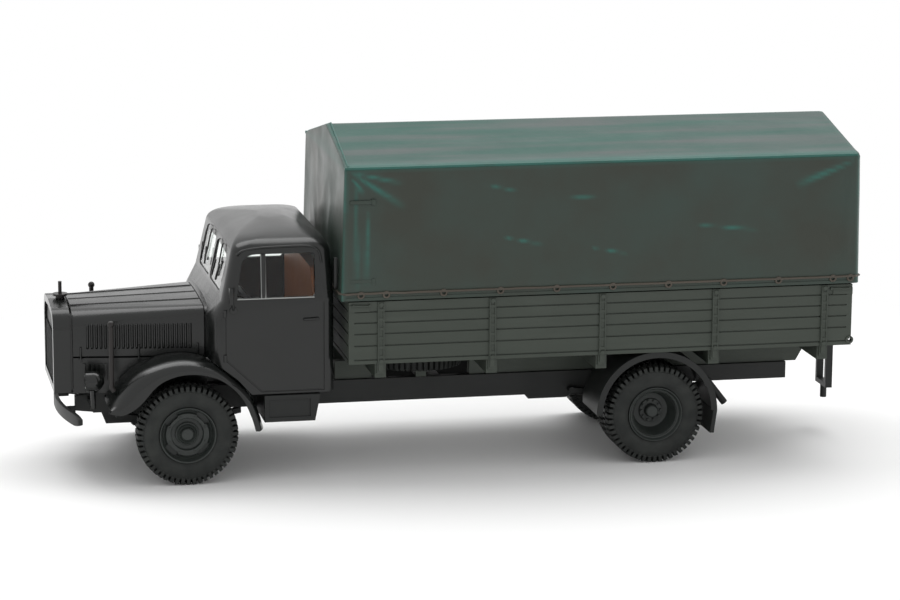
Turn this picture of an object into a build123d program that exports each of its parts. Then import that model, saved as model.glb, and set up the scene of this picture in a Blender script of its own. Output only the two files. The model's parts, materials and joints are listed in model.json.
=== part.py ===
# Plastic 1:87 scale model of a bonneted army cargo truck with a covered load bed.
# Millimetres at the model's own size. +Z is up, the front points to -X, the driver's side is -Y.
# The origin is on the ground under the middle of the model.
import os
from math import atan2, degrees

from build123d import *

os.makedirs("parts", exist_ok=True)

# Layout along the truck, from the radiator to the tow coupling
front_overhang = 13.96
wheelbase = 52.9
cowl_behind_axle = 2.0
cab_length = 14.35
cab_bed_gap = 1.33
bed_length = 57.7
coupling_reach = 1.82

# Clearances
seat_gap = 0.03
running_gap = 0.04
overrun = 1.0

# Tyres: the outline is shares of half the width, and of the height from bore to groove floor
tyre_radius = 5.59
tyre_width = 2.7
tyre_bore_radius = 3.08
groove_radius = 5.2
lug_root_radius = 4.75
lug_count = 30
lug_length = 0.6
lug_width_share = 0.95
tyre_outline_shares = [(0.70, 0.0), (0.93, 0.20), (1.0, 0.50), (0.94, 0.82), (0.80, 1.0)]
front_tyre_y = 11.3
rear_outer_tyre_y = 11.15
twin_gap = 0.3

# Axle pins that the wheels turn on
pin_radius = 0.5
hub_floor = 0.45

# Front rim: radii from the rim's edge to the hub, and depths from the tyre's outer face
rim_wall = 0.28
rim_edge_inset = 0.12
front_disc_inset = 0.75
disc_thickness = 0.35
front_recess_radius = 1.77
front_recess_depth = 0.25
front_hub_radius = 1.1
front_hub_inset = 0.55
front_stud_radius = 0.64
front_stud_inset = 0.2
slot_count = 4
slot_radius = 0.33
slot_circle_radius = 2.13

# Rear rim: a deep dish, its disc between the twin tyres
dish_floor_radius = 1.9
dish_lip_radius = 2.62
dish_depth = 2.6
nut_ring_radius = 1.15
nut_ring_height = 0.45
hub_cap_radius = 0.67
hub_cap_height = 1.0
rear_hub_radius = 1.0

# Front axle beam, dropped between the wheels
front_beam_half_length = 9.3
front_beam_drop = 0.85
front_beam_height = 0.75
front_beam_width = 0.9
front_beam_drop_half = 7.2
front_beam_flat_half = 5.4
kingpin_radius = 0.55
kingpin_height = 2.0

# Rear axle: tubes, final drive housing and brake drums
axle_tube_radius = 0.75
drive_housing_radius = 1.75
drive_housing_width = 3.0
drive_nose_length = 2.2
drive_nose_radius = 0.85
drum_radius = 1.9
drum_inner_y = 5.75
drum_tyre_gap = 0.1

# Leaf springs
spring_width = 0.8
spring_leaf = 0.6
front_spring_y = 3.9
front_spring_half_length = 7.0
front_spring_rise = 0.75
rear_spring_y = 5.15
rear_spring_half_length = 8.0
rear_spring_rise = 0.45
spring_eye_radius = 0.38

# Chassis frame
rail_outer_y = 4.5
rail_web = 0.35
rail_flange_width = 0.95
rail_flange = 0.35
rail_top_z = 9.2
rail_bottom_z = 6.6
rail_rear_bottom_z = 7.3
rail_hanger_bottom_z = 6.1
rail_nose_top_z = 8.6
rail_nose_bottom_z = 7.0
rail_nose_length = 3.4
rail_front_ahead = 11.55
rail_rear_behind = 17.7
hanger_front_behind = 39.6
hanger_length = 4.8
hanger_slope = 0.4
rear_drop_run = 1.8
cross_member_height = 0.95
cross_member_width = 1.1
cross_member_shares = [0.012, 0.36, 0.50, 0.64, 0.985]

# Engine and gearbox, one plain mass under the bonnet
engine_front_ahead = 9.4
engine_length = 9.8
engine_half_width = 2.6
engine_top_z = 15.2
engine_bottom_z = 6.2
sump_front_ahead = 8.45
sump_length = 3.9
sump_slope = 0.5
sump_half_width = 2.2
sump_bottom_z = 4.8
gearbox_length = 8.5
gearbox_half_width = 1.5
gearbox_top_z = 9.0
gearbox_bottom_z = 6.6
shaft_radius = 0.45

# Section of bonnet and radiator: half width, shoulder, hinge line and ridge
bonnet_front_half = 5.9
bonnet_rear_half = 7.9
bonnet_front_ridge_z = 18.75
bonnet_rear_ridge_z = 19.8
bonnet_hinge_y = 3.4
bonnet_hinge_drop = 0.28
bonnet_shoulder_drop = 2.15
bonnet_bottom_z = 13.4
bonnet_wall = 0.45
bonnet_front_gap = 0.25
bonnet_cowl_gap = 0.12
shoulder_bulge_share = 0.74

# Louvres pressed out of the bonnet sides and the lower side panels
louvre_count = 24
louvre_length = 0.28
louvre_height = 2.75
louvre_proud = 0.2
louvre_first = 2.0
louvre_pitch = 0.47
louvre_mid_z = 15.35
lower_louvre_count = 7
lower_louvre_height = 1.9
lower_louvre_first = 1.2
lower_louvre_mid_z = 11.75
side_panel_bottom_z = 9.3
side_panel_wall = 0.4

# Radiator shell, its core and cap
radiator_depth = 1.9
radiator_bottom_z = 9.4
radiator_frame = 0.75
radiator_proud = 0.12
core_inset = 0.3
core_thickness = 0.6
core_bar_count = 13
core_bar_width = 0.18
core_bar_proud = 0.18
cap_x_inset = 1.35
cap_neck_radius = 0.5
cap_neck_height = 0.3
cap_radius = 0.83
cap_thickness = 0.22
cap_pin_radius = 0.2
cap_pin_height = 1.35

# Cab: plan sections from sill to roof, and its shell
cab_wall = 0.5
cab_sill_z = 9.75
cab_front_bottom_z = 13.75
cab_belt_z = 19.6
cab_eave_z = 26.75
cab_crown_z = 28.45
cab_half_width = 12.0
cab_eave_half = 11.35
cowl_corner_y = 8.8
cowl_corner_back = 1.95
cab_side_start = 3.6
screen_rake = 2.25
eave_rear_inset = 0.3
cab_corner_radius = 1.1
roof_steps = [(0.0, 0.0), (0.45, 0.55), (0.8, 1.75), (1.0, 4.2)]
door_front_behind = 4.3
door_diagonal_run = 3.9

# Cab windows
window_sill_z = 20.65
window_top_z = 25.3
window_front_behind = 5.6
window_front_lean = 1.9
window_rear_ahead = 2.2
window_radius = 0.65
quarter_bar_behind = 8.75
quarter_bar_width = 0.28
screen_post_half = 0.35
screen_bottom_z = 20.3
screen_top_z = 26.2
screen_side_drop = 1.3
screen_half_width = 8.3
screen_radius = 1.0
screen_cut_depth = 7.0
rear_window_half = 3.2
rear_window_sill_z = 21.6
rear_window_top_z = 24.8
glass_thickness = 0.26
glass_inset = 0.12

# Cab floor, seat and steering wheel
floor_thickness = 0.5
floor_z = 10.25
toe_board_gap = 0.15
toe_board_step = 0.6
toe_top_z = 13.5
seat_depth = 5.2
seat_back_gap = 0.35
seat_back_thickness = 1.3
seat_cushion_z = 15.6
seat_cushion_thickness = 2.6
seat_back_top_z = 23.2
seat_half_width = 9.8
seat_corner_radius = 2.2
steering_wheel_radius = 2.1
steering_rim_radius = 0.2
steering_hub_radius = 0.45
steering_wheel_y = 5.4
steering_wheel_behind = 8.0
steering_wheel_z = 19.0
steering_tilt = 48.0
column_radius = 0.22
column_length = 6.1

# Front mudguards: the outline is measured back from the front axle and up from the ground
fender_outer_y = 13.05
fender_wall = 0.5
fender_tip = (-8.63, 9.03)
fender_brow = (-4.75, 12.75)
fender_crown = (0.0, 14.46)
fender_back = (4.22, 13.38)
fender_tail = (6.89, 10.40)
fender_heel = (8.11, 6.09)
fender_toe = (7.30, 5.75)
arch_rear = (5.98, 8.38)
arch_top = (0.19, 12.25)
arch_front = (-4.75, 9.31)
fender_chin = (-7.65, 8.07)
brow_inward_share = (0.5, -0.86)
back_inward_share = (-0.5, -0.86)
tail_inward_share = -0.35

# Steps under the doors
step_top_z = 9.62
step_bottom_z = 6.64
step_front_behind = 8.5
step_top_length = 6.2
step_bottom_inset = 0.6
step_outer_y = 12.3
step_inner_y = 5.2
step_panel_margin = 0.5
step_panel_depth = 0.15

# Bumper: a blade swept back at its ends
bumper_front_ahead = 13.45
bumper_flat_half = 4.6
bumper_half_length = 10.2
bumper_sweep = 1.75
bumper_thickness = 0.55
bumper_bottom_z = 6.35
bumper_height = 1.35
bumper_iron_width = 0.6
bumper_iron_height = 0.8

# Headlamps on stems beside the radiator
lamp_y = 8.5
lamp_z = 11.2
lamp_front_ahead = 10.75
lamp_radius = 1.1
lamp_length = 2.1
lamp_rim = 0.15
lamp_drum_share = 0.35
lamp_bulge_share = 0.78
lamp_stem_share = 0.4
lamp_glass = 0.2
lamp_stem_radius = 0.3
lamp_stem_bottom_z = 8.1
lamp_bracket_height = 0.5

# Width marker rods on the front mudguards
marker_ahead = 8.1
marker_y = 10.95
marker_ball_z = 18.0
marker_ball_radius = 0.38
marker_rod_radius = 0.26
marker_bend_z = 10.95
marker_foot_back = 0.25
marker_foot_z = 10.55

# Mirrors at the doors and direction arms behind them
mirror_x_behind = 4.55
mirror_top_z = 21.9
mirror_drop = 2.3
mirror_arm_radius = 0.2
mirror_radius = 0.5
mirror_thickness = 0.3
mirror_stand_off = 0.25
arm_length = 3.5
arm_width = 0.5
arm_depth = 0.4
arm_top_z = 24.6
arm_y = -11.2

# Load bed
bed_half_width = 13.3
bed_bottom_z = 12.95
bed_top_z = 19.95
board_thickness = 0.5
plank_joint_z = [18.83, 17.60, 16.35, 15.02]
plank_groove = 0.16
groove_depth = 0.16
rail_line_z = 13.44
post_width = 0.8
post_proud = 0.14
post_shares = [0.062, 0.279, 0.496, 0.722, 0.943]
bed_floor_thickness = 0.55
floor_raise = 0.1
ring_radius = 0.45
ring_wire = 0.2
ring_inset = 0.2
ring_z = 13.55
corner_post_width = 0.62
latch_length = 2.3
latch_height = 0.75
latch_proud = 0.12
latch_top_drop = 0.35

# Bearers that carry the bed on the frame
bearer_y = 3.6
bearer_width = 1.1
bearer_height = 2.1
bearer_rear_inset = 2.3
bearer_slant = 1.2
cross_bearer_width = 1.24
cross_bearer_half = 13.0

# Tarp over the bed
tarp_half_width = 13.45
tarp_eave_half = 13.3
tarp_bottom_z = 20.3
tarp_eave_z = 34.85
tarp_ridge_z = 37.74
tarp_front_ahead = 0.88
tarp_front_lean = 0.43
tarp_rear_behind = 0.72
tarp_rear_lean = 0.15
tarp_wall = 0.9
tarp_plug_depth = 1.3
tarp_plug_wall = 0.5

# Rear mudguards over the twin wheels
guard_radius = 7.0
guard_centre_z = 5.95
guard_outer_y = 13.1
guard_inner_y = 6.5
guard_wall = 0.4
guard_lip = 0.7
guard_lip_wall = 0.35
flap_height = 2.6
flap_thickness = 0.45
flap_taper = 0.35

# Spare wheel lying under the front of the bed
carrier_width = 1.2
carrier_height = 0.72

# Tail pipe behind the rear axle
pipe_radius = 0.4
pipe_y = 6.6
pipe_start_behind = 7.0
pipe_start_z = 8.4
pipe_mid_behind = 7.6
pipe_end_behind = 9.75
pipe_mid_z = 7.95
pipe_end_z = 5.2

# Tow coupling at the tail
coupling_half_width = 1.9
coupling_bar = 0.55
coupling_depth = 0.8
coupling_top_z = 10.4
coupling_bottom_z = 5.2
tow_pin_radius = 0.38
tow_pin_length = 1.5
tow_arm_height = 0.9
tow_arm_width = 1.4
tow_arm_lift = 0.35

# Places that follow from the layout
total_length = (
    front_overhang + cowl_behind_axle + cab_length + cab_bed_gap + bed_length + coupling_reach
)
nose_x = -total_length / 2
front_axle_x = nose_x + front_overhang
rear_axle_x = front_axle_x + wheelbase
cowl_x = front_axle_x + cowl_behind_axle
cab_rear_x = cowl_x + cab_length
bed_front_x = cab_rear_x + cab_bed_gap
bed_rear_x = bed_front_x + bed_length
axle_z = tyre_radius
half_tyre = tyre_width / 2
radiator_rear_x = nose_x + radiator_depth
bonnet_front_x = radiator_rear_x + bonnet_front_gap
bonnet_rear_x = cowl_x - bonnet_cowl_gap
rail_front_x = front_axle_x - rail_front_ahead
rail_rear_x = rear_axle_x + rail_rear_behind
bearer_top_z = rail_top_z + seat_gap + bearer_height
bed_floor_z = bed_bottom_z + floor_raise


def save(piece, node):
    """Name one finished piece and write it to its own file."""
    piece.part.label = node
    export_step(piece.part, f"parts/{node}.step")


def outward(x, y, z):
    """Plane across a wheel: its first axis points out to the driver's side, its second up."""
    return Plane(origin=(x, -y, z), x_dir=(0, -1, 0), z_dir=(-1, 0, 0))


def hub_axis(x, z):
    return Axis((x, 0, z), (0, 1, 0))


def side_outline(points):
    """Face with a closed outline of straight lines, on the sketch in work."""
    with BuildLine() as outline:
        Polyline(*points, close=True)
    make_face(outline.edges())


def mirrored(piece):
    """The same piece on the passenger's side."""
    with BuildPart() as twin:
        mirror(piece.part, about=Plane.XZ)
    return twin


# Wheels

def tyre_outline():
    """Half section of the tyre: distance across it, distance from its axis."""
    height = groove_radius - tyre_bore_radius
    outer = [(half_tyre * w, tyre_bore_radius + height * h) for w, h in tyre_outline_shares]
    return outer + [(-w, r) for w, r in reversed(outer)]


def make_tyre(x, y, z):
    with BuildPart() as tyre:
        with BuildSketch(outward(x, y, z)):
            side_outline(tyre_outline())
        revolve(axis=hub_axis(x, z))
        with Locations(Plane(origin=(x, -y, z), x_dir=(0, 0, -1), z_dir=(0, 1, 0))):
            with PolarLocations((lug_root_radius + tyre_radius) / 2, lug_count):
                Box(tyre_radius - lug_root_radius, lug_length, tyre_width * lug_width_share)
    return tyre


def make_front_rim(x, y, z):
    rim_radius = tyre_bore_radius - seat_gap
    edge = half_tyre - rim_edge_inset
    disc = half_tyre - front_disc_inset
    recess = disc - front_recess_depth
    back = recess - disc_thickness
    hub = half_tyre - front_hub_inset
    stud = half_tyre - front_stud_inset
    bore = pin_radius + running_gap
    with BuildPart() as rim:
        with BuildSketch(outward(x, y, z)):
            side_outline([
                (-edge, rim_radius - rim_wall), (-edge, rim_radius), (edge, rim_radius),
                (edge, rim_radius - rim_wall), (disc, rim_radius - 2 * rim_wall),
                (disc, front_recess_radius), (recess, front_recess_radius - rim_wall),
                (recess, front_hub_radius), (hub, front_hub_radius), (hub, front_stud_radius),
                (stud, front_stud_radius), (stud, 0), (stud - hub_floor, 0),
                (stud - hub_floor, bore), (-edge, bore), (-edge, front_hub_radius),
                (back, front_hub_radius), (back, rim_radius - 2 * rim_wall),
            ])
        revolve(axis=hub_axis(x, z))
        with Locations(Plane(origin=(x, -y, z), x_dir=(0, 0, -1), z_dir=(0, 1, 0))):
            with PolarLocations(slot_circle_radius, slot_count, start_angle=45):
                Cylinder(slot_radius, tyre_width, mode=Mode.SUBTRACT)
    return rim


def make_rear_rims(x, y, z):
    rim_radius = tyre_bore_radius - seat_gap
    edge = half_tyre - rim_edge_inset
    far_edge = -edge - tyre_width - twin_gap
    floor = half_tyre - dish_depth
    back = floor - disc_thickness
    bore = pin_radius + running_gap
    cap = floor + hub_cap_height
    with BuildPart() as rim:
        with BuildSketch(outward(x, y, z)):
            side_outline([
                (far_edge, rim_radius - rim_wall), (far_edge, rim_radius), (edge, rim_radius),
                (edge, rim_radius - rim_wall), (edge - rim_wall, dish_lip_radius),
                (floor, dish_floor_radius), (floor, nut_ring_radius),
                (floor + nut_ring_height, nut_ring_radius),
                (floor + nut_ring_height, hub_cap_radius), (cap, hub_cap_radius), (cap, 0),
                (cap - hub_floor, 0), (cap - hub_floor, bore), (far_edge, bore),
                (far_edge, rear_hub_radius), (back, rear_hub_radius),
                (back, rim_radius - rim_wall),
            ])
        revolve(axis=hub_axis(x, z))
    return rim


front_tyre_left = make_tyre(front_axle_x, front_tyre_y, axle_z)
save(front_tyre_left, "front_tyre_left")
save(mirrored(front_tyre_left), "front_tyre_right")

front_rim_left = make_front_rim(front_axle_x, front_tyre_y, axle_z)
save(front_rim_left, "front_rim_left")
save(mirrored(front_rim_left), "front_rim_right")

rear_inner_tyre_y = rear_outer_tyre_y - tyre_width - twin_gap
rear_outer_tyre = make_tyre(rear_axle_x, rear_outer_tyre_y, axle_z)
rear_inner_tyre = make_tyre(rear_axle_x, rear_inner_tyre_y, axle_z)
with BuildPart() as rear_tyres_left:
    add(rear_outer_tyre.part)
    add(rear_inner_tyre.part)
save(rear_tyres_left, "rear_tyres_left")
save(mirrored(rear_tyres_left), "rear_tyres_right")

rear_rims_left = make_rear_rims(rear_axle_x, rear_outer_tyre_y, axle_z)
save(rear_rims_left, "rear_rims_left")
save(mirrored(rear_rims_left), "rear_rims_right")

# Axles with the pins that carry the wheels

def round_bar(x, y_inner, y_outer, z, radius):
    """Round bar along Y between two distances out to the driver's side."""
    with BuildSketch(Plane.XZ.offset(y_inner)) as end:
        with Locations((x, z)):
            Circle(radius)
    extrude(end.sketch, amount=y_outer - y_inner)


front_pin_end = front_tyre_y + half_tyre - front_stud_inset - hub_floor - running_gap
rear_drum_end = rear_inner_tyre_y - half_tyre - drum_tyre_gap
rear_pin_end = rear_outer_tyre_y + half_tyre - dish_depth + hub_cap_height - hub_floor - running_gap
beam_base_z = axle_z - front_beam_height / 2
beam_stations = [
    # distance from the middle, drop below the wheel centre
    (0, front_beam_drop),
    (front_beam_flat_half, front_beam_drop),
    (front_beam_drop_half, 0),
    (front_beam_half_length, 0),
]
with BuildPart() as front_axle:
    with BuildSketch(Plane.YZ.offset(front_axle_x - front_beam_width / 2)):
        under = [(-y, beam_base_z - drop) for y, drop in beam_stations]
        over = [(-y, beam_base_z + front_beam_height - drop) for y, drop in reversed(beam_stations)]
        side_outline(under + over)
    extrude(amount=front_beam_width)
    with Locations((front_axle_x, -front_beam_half_length, axle_z)):
        Cylinder(kingpin_radius, kingpin_height)
    round_bar(front_axle_x, front_beam_half_length, front_pin_end, axle_z, pin_radius)
    mirror(about=Plane.XZ)
save(front_axle, "front_axle")

with BuildPart() as rear_axle:
    round_bar(rear_axle_x, 0, drum_inner_y, axle_z, axle_tube_radius)
    round_bar(rear_axle_x, drum_inner_y, rear_drum_end, axle_z, drum_radius)
    round_bar(rear_axle_x, rear_drum_end, rear_pin_end, axle_z, pin_radius)
    mirror(about=Plane.XZ)
    with BuildSketch(Plane.XZ.offset(-drive_housing_width / 2)):
        with Locations((rear_axle_x, axle_z)):
            Circle(drive_housing_radius)
    extrude(amount=drive_housing_width)
    with BuildSketch(Plane.YZ.offset(rear_axle_x - drive_housing_radius - drive_nose_length)):
        with Locations((0, axle_z)):
            Circle(drive_nose_radius)
    extrude(amount=drive_nose_length + drive_housing_radius)
save(rear_axle, "rear_axle")


def bowed_strip(x, half_length, seat_z, rise, thickness):
    """Leaf spring outline: the middle rests at seat_z and the ends stand higher."""
    low = [(x - half_length, seat_z + rise), (x, seat_z), (x + half_length, seat_z + rise)]
    high = [(px, pz + thickness) for px, pz in reversed(low)]
    with BuildLine() as outline:
        ThreePointArc(*low)
        Line(low[-1], high[0])
        ThreePointArc(*high)
        Line(high[-1], low[0])
    make_face(outline.edges())


front_spring_seat_z = beam_base_z + front_beam_height - front_beam_drop + seat_gap
with BuildPart() as front_springs:
    with BuildSketch(Plane.XZ.offset(front_spring_y - spring_width / 2)):
        bowed_strip(front_axle_x, front_spring_half_length, front_spring_seat_z,
                    front_spring_rise, spring_leaf)
    extrude(amount=spring_width)
    mirror(about=Plane.XZ)
save(front_springs, "front_springs")

rear_spring_seat_z = axle_z + axle_tube_radius + seat_gap
rear_eye_z = rear_spring_seat_z + rear_spring_rise + spring_leaf / 2
with BuildPart() as rear_springs:
    with BuildSketch(Plane.XZ.offset(rear_spring_y - spring_width / 2)):
        bowed_strip(rear_axle_x, rear_spring_half_length, rear_spring_seat_z,
                    rear_spring_rise, spring_leaf)
    extrude(amount=spring_width)
    for end in (-1, 1):
        eye_x = rear_axle_x + end * rear_spring_half_length
        round_bar(eye_x, rail_outer_y + seat_gap, rear_spring_y + spring_width / 2,
                  rear_eye_z, spring_eye_radius)
    mirror(about=Plane.XZ)
save(rear_springs, "rear_springs")

# Chassis frame: two pressed rails, open on their inner sides, and cross members

hanger_x = front_axle_x + hanger_front_behind
rail_outline = [
    (rail_front_x, rail_nose_bottom_z), (rail_front_x + rail_nose_length, rail_bottom_z),
    (hanger_x, rail_bottom_z), (hanger_x + hanger_slope, rail_hanger_bottom_z),
    (hanger_x + hanger_length, rail_hanger_bottom_z),
    (hanger_x + hanger_length + rear_drop_run, rail_rear_bottom_z),
    (rail_rear_x, rail_rear_bottom_z), (rail_rear_x, rail_top_z),
    (rail_front_x + rail_nose_length, rail_top_z), (rail_front_x, rail_nose_top_z),
]
with BuildPart() as chassis_frame:
    with BuildSketch(Plane.XZ.offset(rail_outer_y - rail_flange_width)):
        side_outline(rail_outline)
    extrude(amount=rail_flange_width)
    with BuildSketch(Plane.XZ.offset(rail_outer_y - rail_flange_width)):
        side_outline(rail_outline)
        offset(amount=-rail_flange, mode=Mode.REPLACE)
    extrude(amount=rail_flange_width - rail_web, mode=Mode.SUBTRACT)
    mirror(about=Plane.XZ)
    for share in cross_member_shares:
        member_x = rail_front_x + share * (rail_rear_x - rail_front_x)
        with Locations((member_x, 0, rail_top_z - rail_flange)):
            Box(cross_member_width, 2 * (rail_outer_y - rail_web), cross_member_height,
                align=(Align.CENTER, Align.CENTER, Align.MAX))
save(chassis_frame, "chassis_frame")

# Engine and gearbox as one closed mass, and the shaft to the rear axle

engine_front_x = front_axle_x - engine_front_ahead
gearbox_front_x = engine_front_x + engine_length
with BuildPart() as engine_block:
    with BuildSketch(Plane.XY.offset(engine_bottom_z)):
        with Locations((engine_front_x, 0)):
            Rectangle(engine_length, 2 * engine_half_width, align=(Align.MIN, Align.CENTER))
    extrude(amount=engine_top_z - engine_bottom_z)
    with BuildSketch(Plane.XY.offset(gearbox_bottom_z)):
        with Locations((gearbox_front_x, 0)):
            Rectangle(gearbox_length, 2 * gearbox_half_width, align=(Align.MIN, Align.CENTER))
    extrude(amount=gearbox_top_z - gearbox_bottom_z)
    sump_x = front_axle_x - sump_front_ahead
    with BuildSketch(Plane.XZ.offset(-sump_half_width)):
        side_outline([
            (sump_x, engine_bottom_z), (sump_x + sump_slope, sump_bottom_z),
            (sump_x + sump_length - sump_slope, sump_bottom_z), (sump_x + sump_length, engine_bottom_z),
        ])
    extrude(amount=2 * sump_half_width)
save(engine_block, "engine_block")

shaft_start = Vector(gearbox_front_x + gearbox_length + seat_gap, 0,
                     (gearbox_top_z + gearbox_bottom_z) / 2)
shaft_end = Vector(rear_axle_x - drive_housing_radius - drive_nose_length - seat_gap, 0, axle_z)
with BuildPart() as drive_shaft:
    with BuildSketch(Plane(origin=shaft_start, z_dir=shaft_end - shaft_start)):
        Circle(shaft_radius)
    extrude(amount=(shaft_end - shaft_start).length)
save(drive_shaft, "drive_shaft")

# Bonnet: one section that grows from the radiator to the cab


def bonnet_half(x):
    """Half width of the bonnet at a place along the truck."""
    share = (x - bonnet_front_x) / (bonnet_rear_x - bonnet_front_x)
    return bonnet_front_half + share * (bonnet_rear_half - bonnet_front_half)


def bonnet_section(half, ridge_z, bottom_z):
    """Half section with a centre ridge, a hinge line and a round shoulder, then its mirror."""
    hinge_z = ridge_z - bonnet_hinge_drop
    shoulder_z = hinge_z - bonnet_shoulder_drop
    bulge_y = bonnet_hinge_y + shoulder_bulge_share * (half - bonnet_hinge_y)
    bulge_z = shoulder_z + shoulder_bulge_share * bonnet_shoulder_drop
    with BuildLine() as outline:
        Polyline((0, bottom_z), (half, bottom_z), (half, shoulder_z))
        ThreePointArc((half, shoulder_z), (bulge_y, bulge_z), (bonnet_hinge_y, hinge_z))
        Polyline((bonnet_hinge_y, hinge_z), (0, ridge_z), (-bonnet_hinge_y, hinge_z))
        ThreePointArc((-bonnet_hinge_y, hinge_z), (-bulge_y, bulge_z), (-half, shoulder_z))
        Polyline((-half, shoulder_z), (-half, bottom_z), (0, bottom_z))
    make_face(outline.edges())


def bonnet_solid(wall, past):
    """Solid bonnet, smaller all round by a wall and longer at both ends."""
    with BuildPart() as solid:
        with BuildSketch(Plane.YZ.offset(bonnet_front_x - past)):
            bonnet_section(bonnet_front_half - wall, bonnet_front_ridge_z - wall,
                           bonnet_bottom_z - past)
        with BuildSketch(Plane.YZ.offset(bonnet_rear_x + past)):
            bonnet_section(bonnet_rear_half - wall, bonnet_rear_ridge_z - wall,
                           bonnet_bottom_z - past)
        loft(ruled=True)
    return solid


bonnet_taper = degrees(atan2(bonnet_rear_half - bonnet_front_half, bonnet_rear_x - bonnet_front_x))


def louvre_row(first, count, height, mid_z):
    """Upright louvres on the driver's side, flush with the tapered side."""
    for step in range(count):
        x = bonnet_front_x + first + step * louvre_pitch
        with Locations(Location((x, -bonnet_half(x), mid_z), (0, 0, -bonnet_taper))):
            Box(louvre_length, 2 * louvre_proud, height)


bonnet_outside = bonnet_solid(0, 0)
bonnet_inside = bonnet_solid(bonnet_wall, overrun)
with BuildPart() as bonnet:
    add(bonnet_outside.part)
    louvre_row(louvre_first, louvre_count, louvre_height, louvre_mid_z)
    mirror(about=Plane.XZ)
    add(bonnet_inside.part, mode=Mode.SUBTRACT)
save(bonnet, "bonnet")

with BuildPart() as side_panels:
    panel_top_z = bonnet_bottom_z - bonnet_cowl_gap
    with BuildSketch(Plane.XY.offset(side_panel_bottom_z)):
        side_outline([
            (bonnet_front_x, -bonnet_front_half), (bonnet_rear_x, -bonnet_rear_half),
            (bonnet_rear_x, side_panel_wall - bonnet_rear_half),
            (bonnet_front_x, side_panel_wall - bonnet_front_half),
        ])
    extrude(amount=panel_top_z - side_panel_bottom_z)
    louvre_row(lower_louvre_first, lower_louvre_count, lower_louvre_height, lower_louvre_mid_z)
    mirror(about=Plane.XZ)
save(side_panels, "side_panels")

# Radiator: a shell that follows the bonnet's front section, with an upright-barred core

shell_half = bonnet_front_half + radiator_proud
shell_ridge_z = bonnet_front_ridge_z + radiator_proud
with BuildPart() as radiator_shell:
    with BuildSketch(Plane.YZ.offset(nose_x)):
        bonnet_section(shell_half, shell_ridge_z, radiator_bottom_z)
    extrude(amount=radiator_depth)
    with BuildSketch(Plane.YZ.offset(nose_x - overrun)):
        bonnet_section(shell_half - radiator_frame, shell_ridge_z - radiator_frame,
                       radiator_bottom_z + radiator_frame)
    extrude(amount=radiator_depth + 2 * overrun, mode=Mode.SUBTRACT)
save(radiator_shell, "radiator_shell")

core_half = shell_half - radiator_frame - seat_gap
core_ridge_z = shell_ridge_z - radiator_frame - seat_gap
core_bottom_z = radiator_bottom_z + radiator_frame + seat_gap
core_bar_top_z = core_ridge_z - bonnet_hinge_drop - bonnet_shoulder_drop
with BuildPart() as radiator_core:
    with BuildSketch(Plane.YZ.offset(nose_x + core_inset)):
        bonnet_section(core_half, core_ridge_z, core_bottom_z)
    extrude(amount=core_thickness)
    bar_height = core_bar_top_z - core_bottom_z
    with Locations((nose_x + core_inset, 0, core_bottom_z + bar_height / 2)):
        with GridLocations(core_bar_width, 2 * core_half / (core_bar_count + 1), 1, core_bar_count):
            Box(2 * core_bar_proud, core_bar_width, bar_height)
save(radiator_core, "radiator_core")

cap_x = nose_x + cap_x_inset
with BuildPart() as radiator_cap:
    with BuildSketch(Plane.XY.offset(shell_ridge_z + seat_gap)):
        with Locations((cap_x, 0)):
            Circle(cap_neck_radius)
    extrude(amount=cap_neck_height)
    with BuildSketch(Plane.XY.offset(shell_ridge_z + seat_gap + cap_neck_height)):
        with Locations((cap_x, 0)):
            Circle(cap_radius)
    extrude(amount=cap_thickness)
    with BuildSketch(Plane.XY.offset(shell_ridge_z + seat_gap + cap_neck_height + cap_thickness)):
        with Locations((cap_x, 0)):
            Circle(cap_pin_radius)
    extrude(amount=cap_pin_height)
save(radiator_cap, "radiator_cap")

# Cab: a plan of one arc and straight sides, lofted from sill to eave and over the roof


def cab_plan(front_x, half, rear_x, inset):
    """Plan of the cab at one level, smaller all round by an inset."""
    nose = front_x + inset
    back_x = rear_x - inset
    length_share = (back_x - nose) / cab_length
    corner_x = nose + cowl_corner_back * length_share
    corner_y = cowl_corner_y * (half - inset) / cab_half_width
    side_x = nose + cab_side_start * length_share
    side_y = half - inset
    with BuildLine() as outline:
        ThreePointArc((corner_x, -corner_y), (nose, 0), (corner_x, corner_y))
        Polyline((corner_x, corner_y), (side_x, side_y), (back_x - cab_corner_radius, side_y),
                 (back_x, side_y - cab_corner_radius), (back_x, cab_corner_radius - side_y),
                 (back_x - cab_corner_radius, -side_y), (side_x, -side_y),
                 (corner_x, -corner_y))
    make_face(outline.edges())


def cab_solid(inset, past):
    """Solid cab body and roof, smaller all round by an inset and deeper below."""
    eave_front_x = cowl_x + screen_rake
    eave_rear_x = cab_rear_x - eave_rear_inset
    with BuildPart() as solid:
        with BuildSketch(Plane.XY.offset(cab_sill_z - past)):
            cab_plan(cowl_x, cab_half_width, cab_rear_x, inset)
        extrude(amount=cab_belt_z - cab_sill_z + past)
        with BuildSketch(Plane.XY.offset(cab_belt_z)):
            cab_plan(cowl_x, cab_half_width, cab_rear_x, inset)
        with BuildSketch(Plane.XY.offset(cab_eave_z)):
            cab_plan(eave_front_x, cab_eave_half, eave_rear_x, inset)
        loft(ruled=True)
        crown = cab_crown_z - inset - cab_eave_z
        for rise_share, roof_inset in roof_steps:
            with BuildSketch(Plane.XY.offset(cab_eave_z + rise_share * crown)):
                cab_plan(eave_front_x, cab_eave_half, eave_rear_x, inset + roof_inset)
        loft(ruled=True)
    return solid


door_front_x = front_axle_x + door_front_behind
diagonal_end_x = door_front_x + door_diagonal_run
cab_reach = cab_half_width + overrun
window_front_x = front_axle_x + window_front_behind
window_rear_x = cab_rear_x - window_rear_ahead


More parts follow.
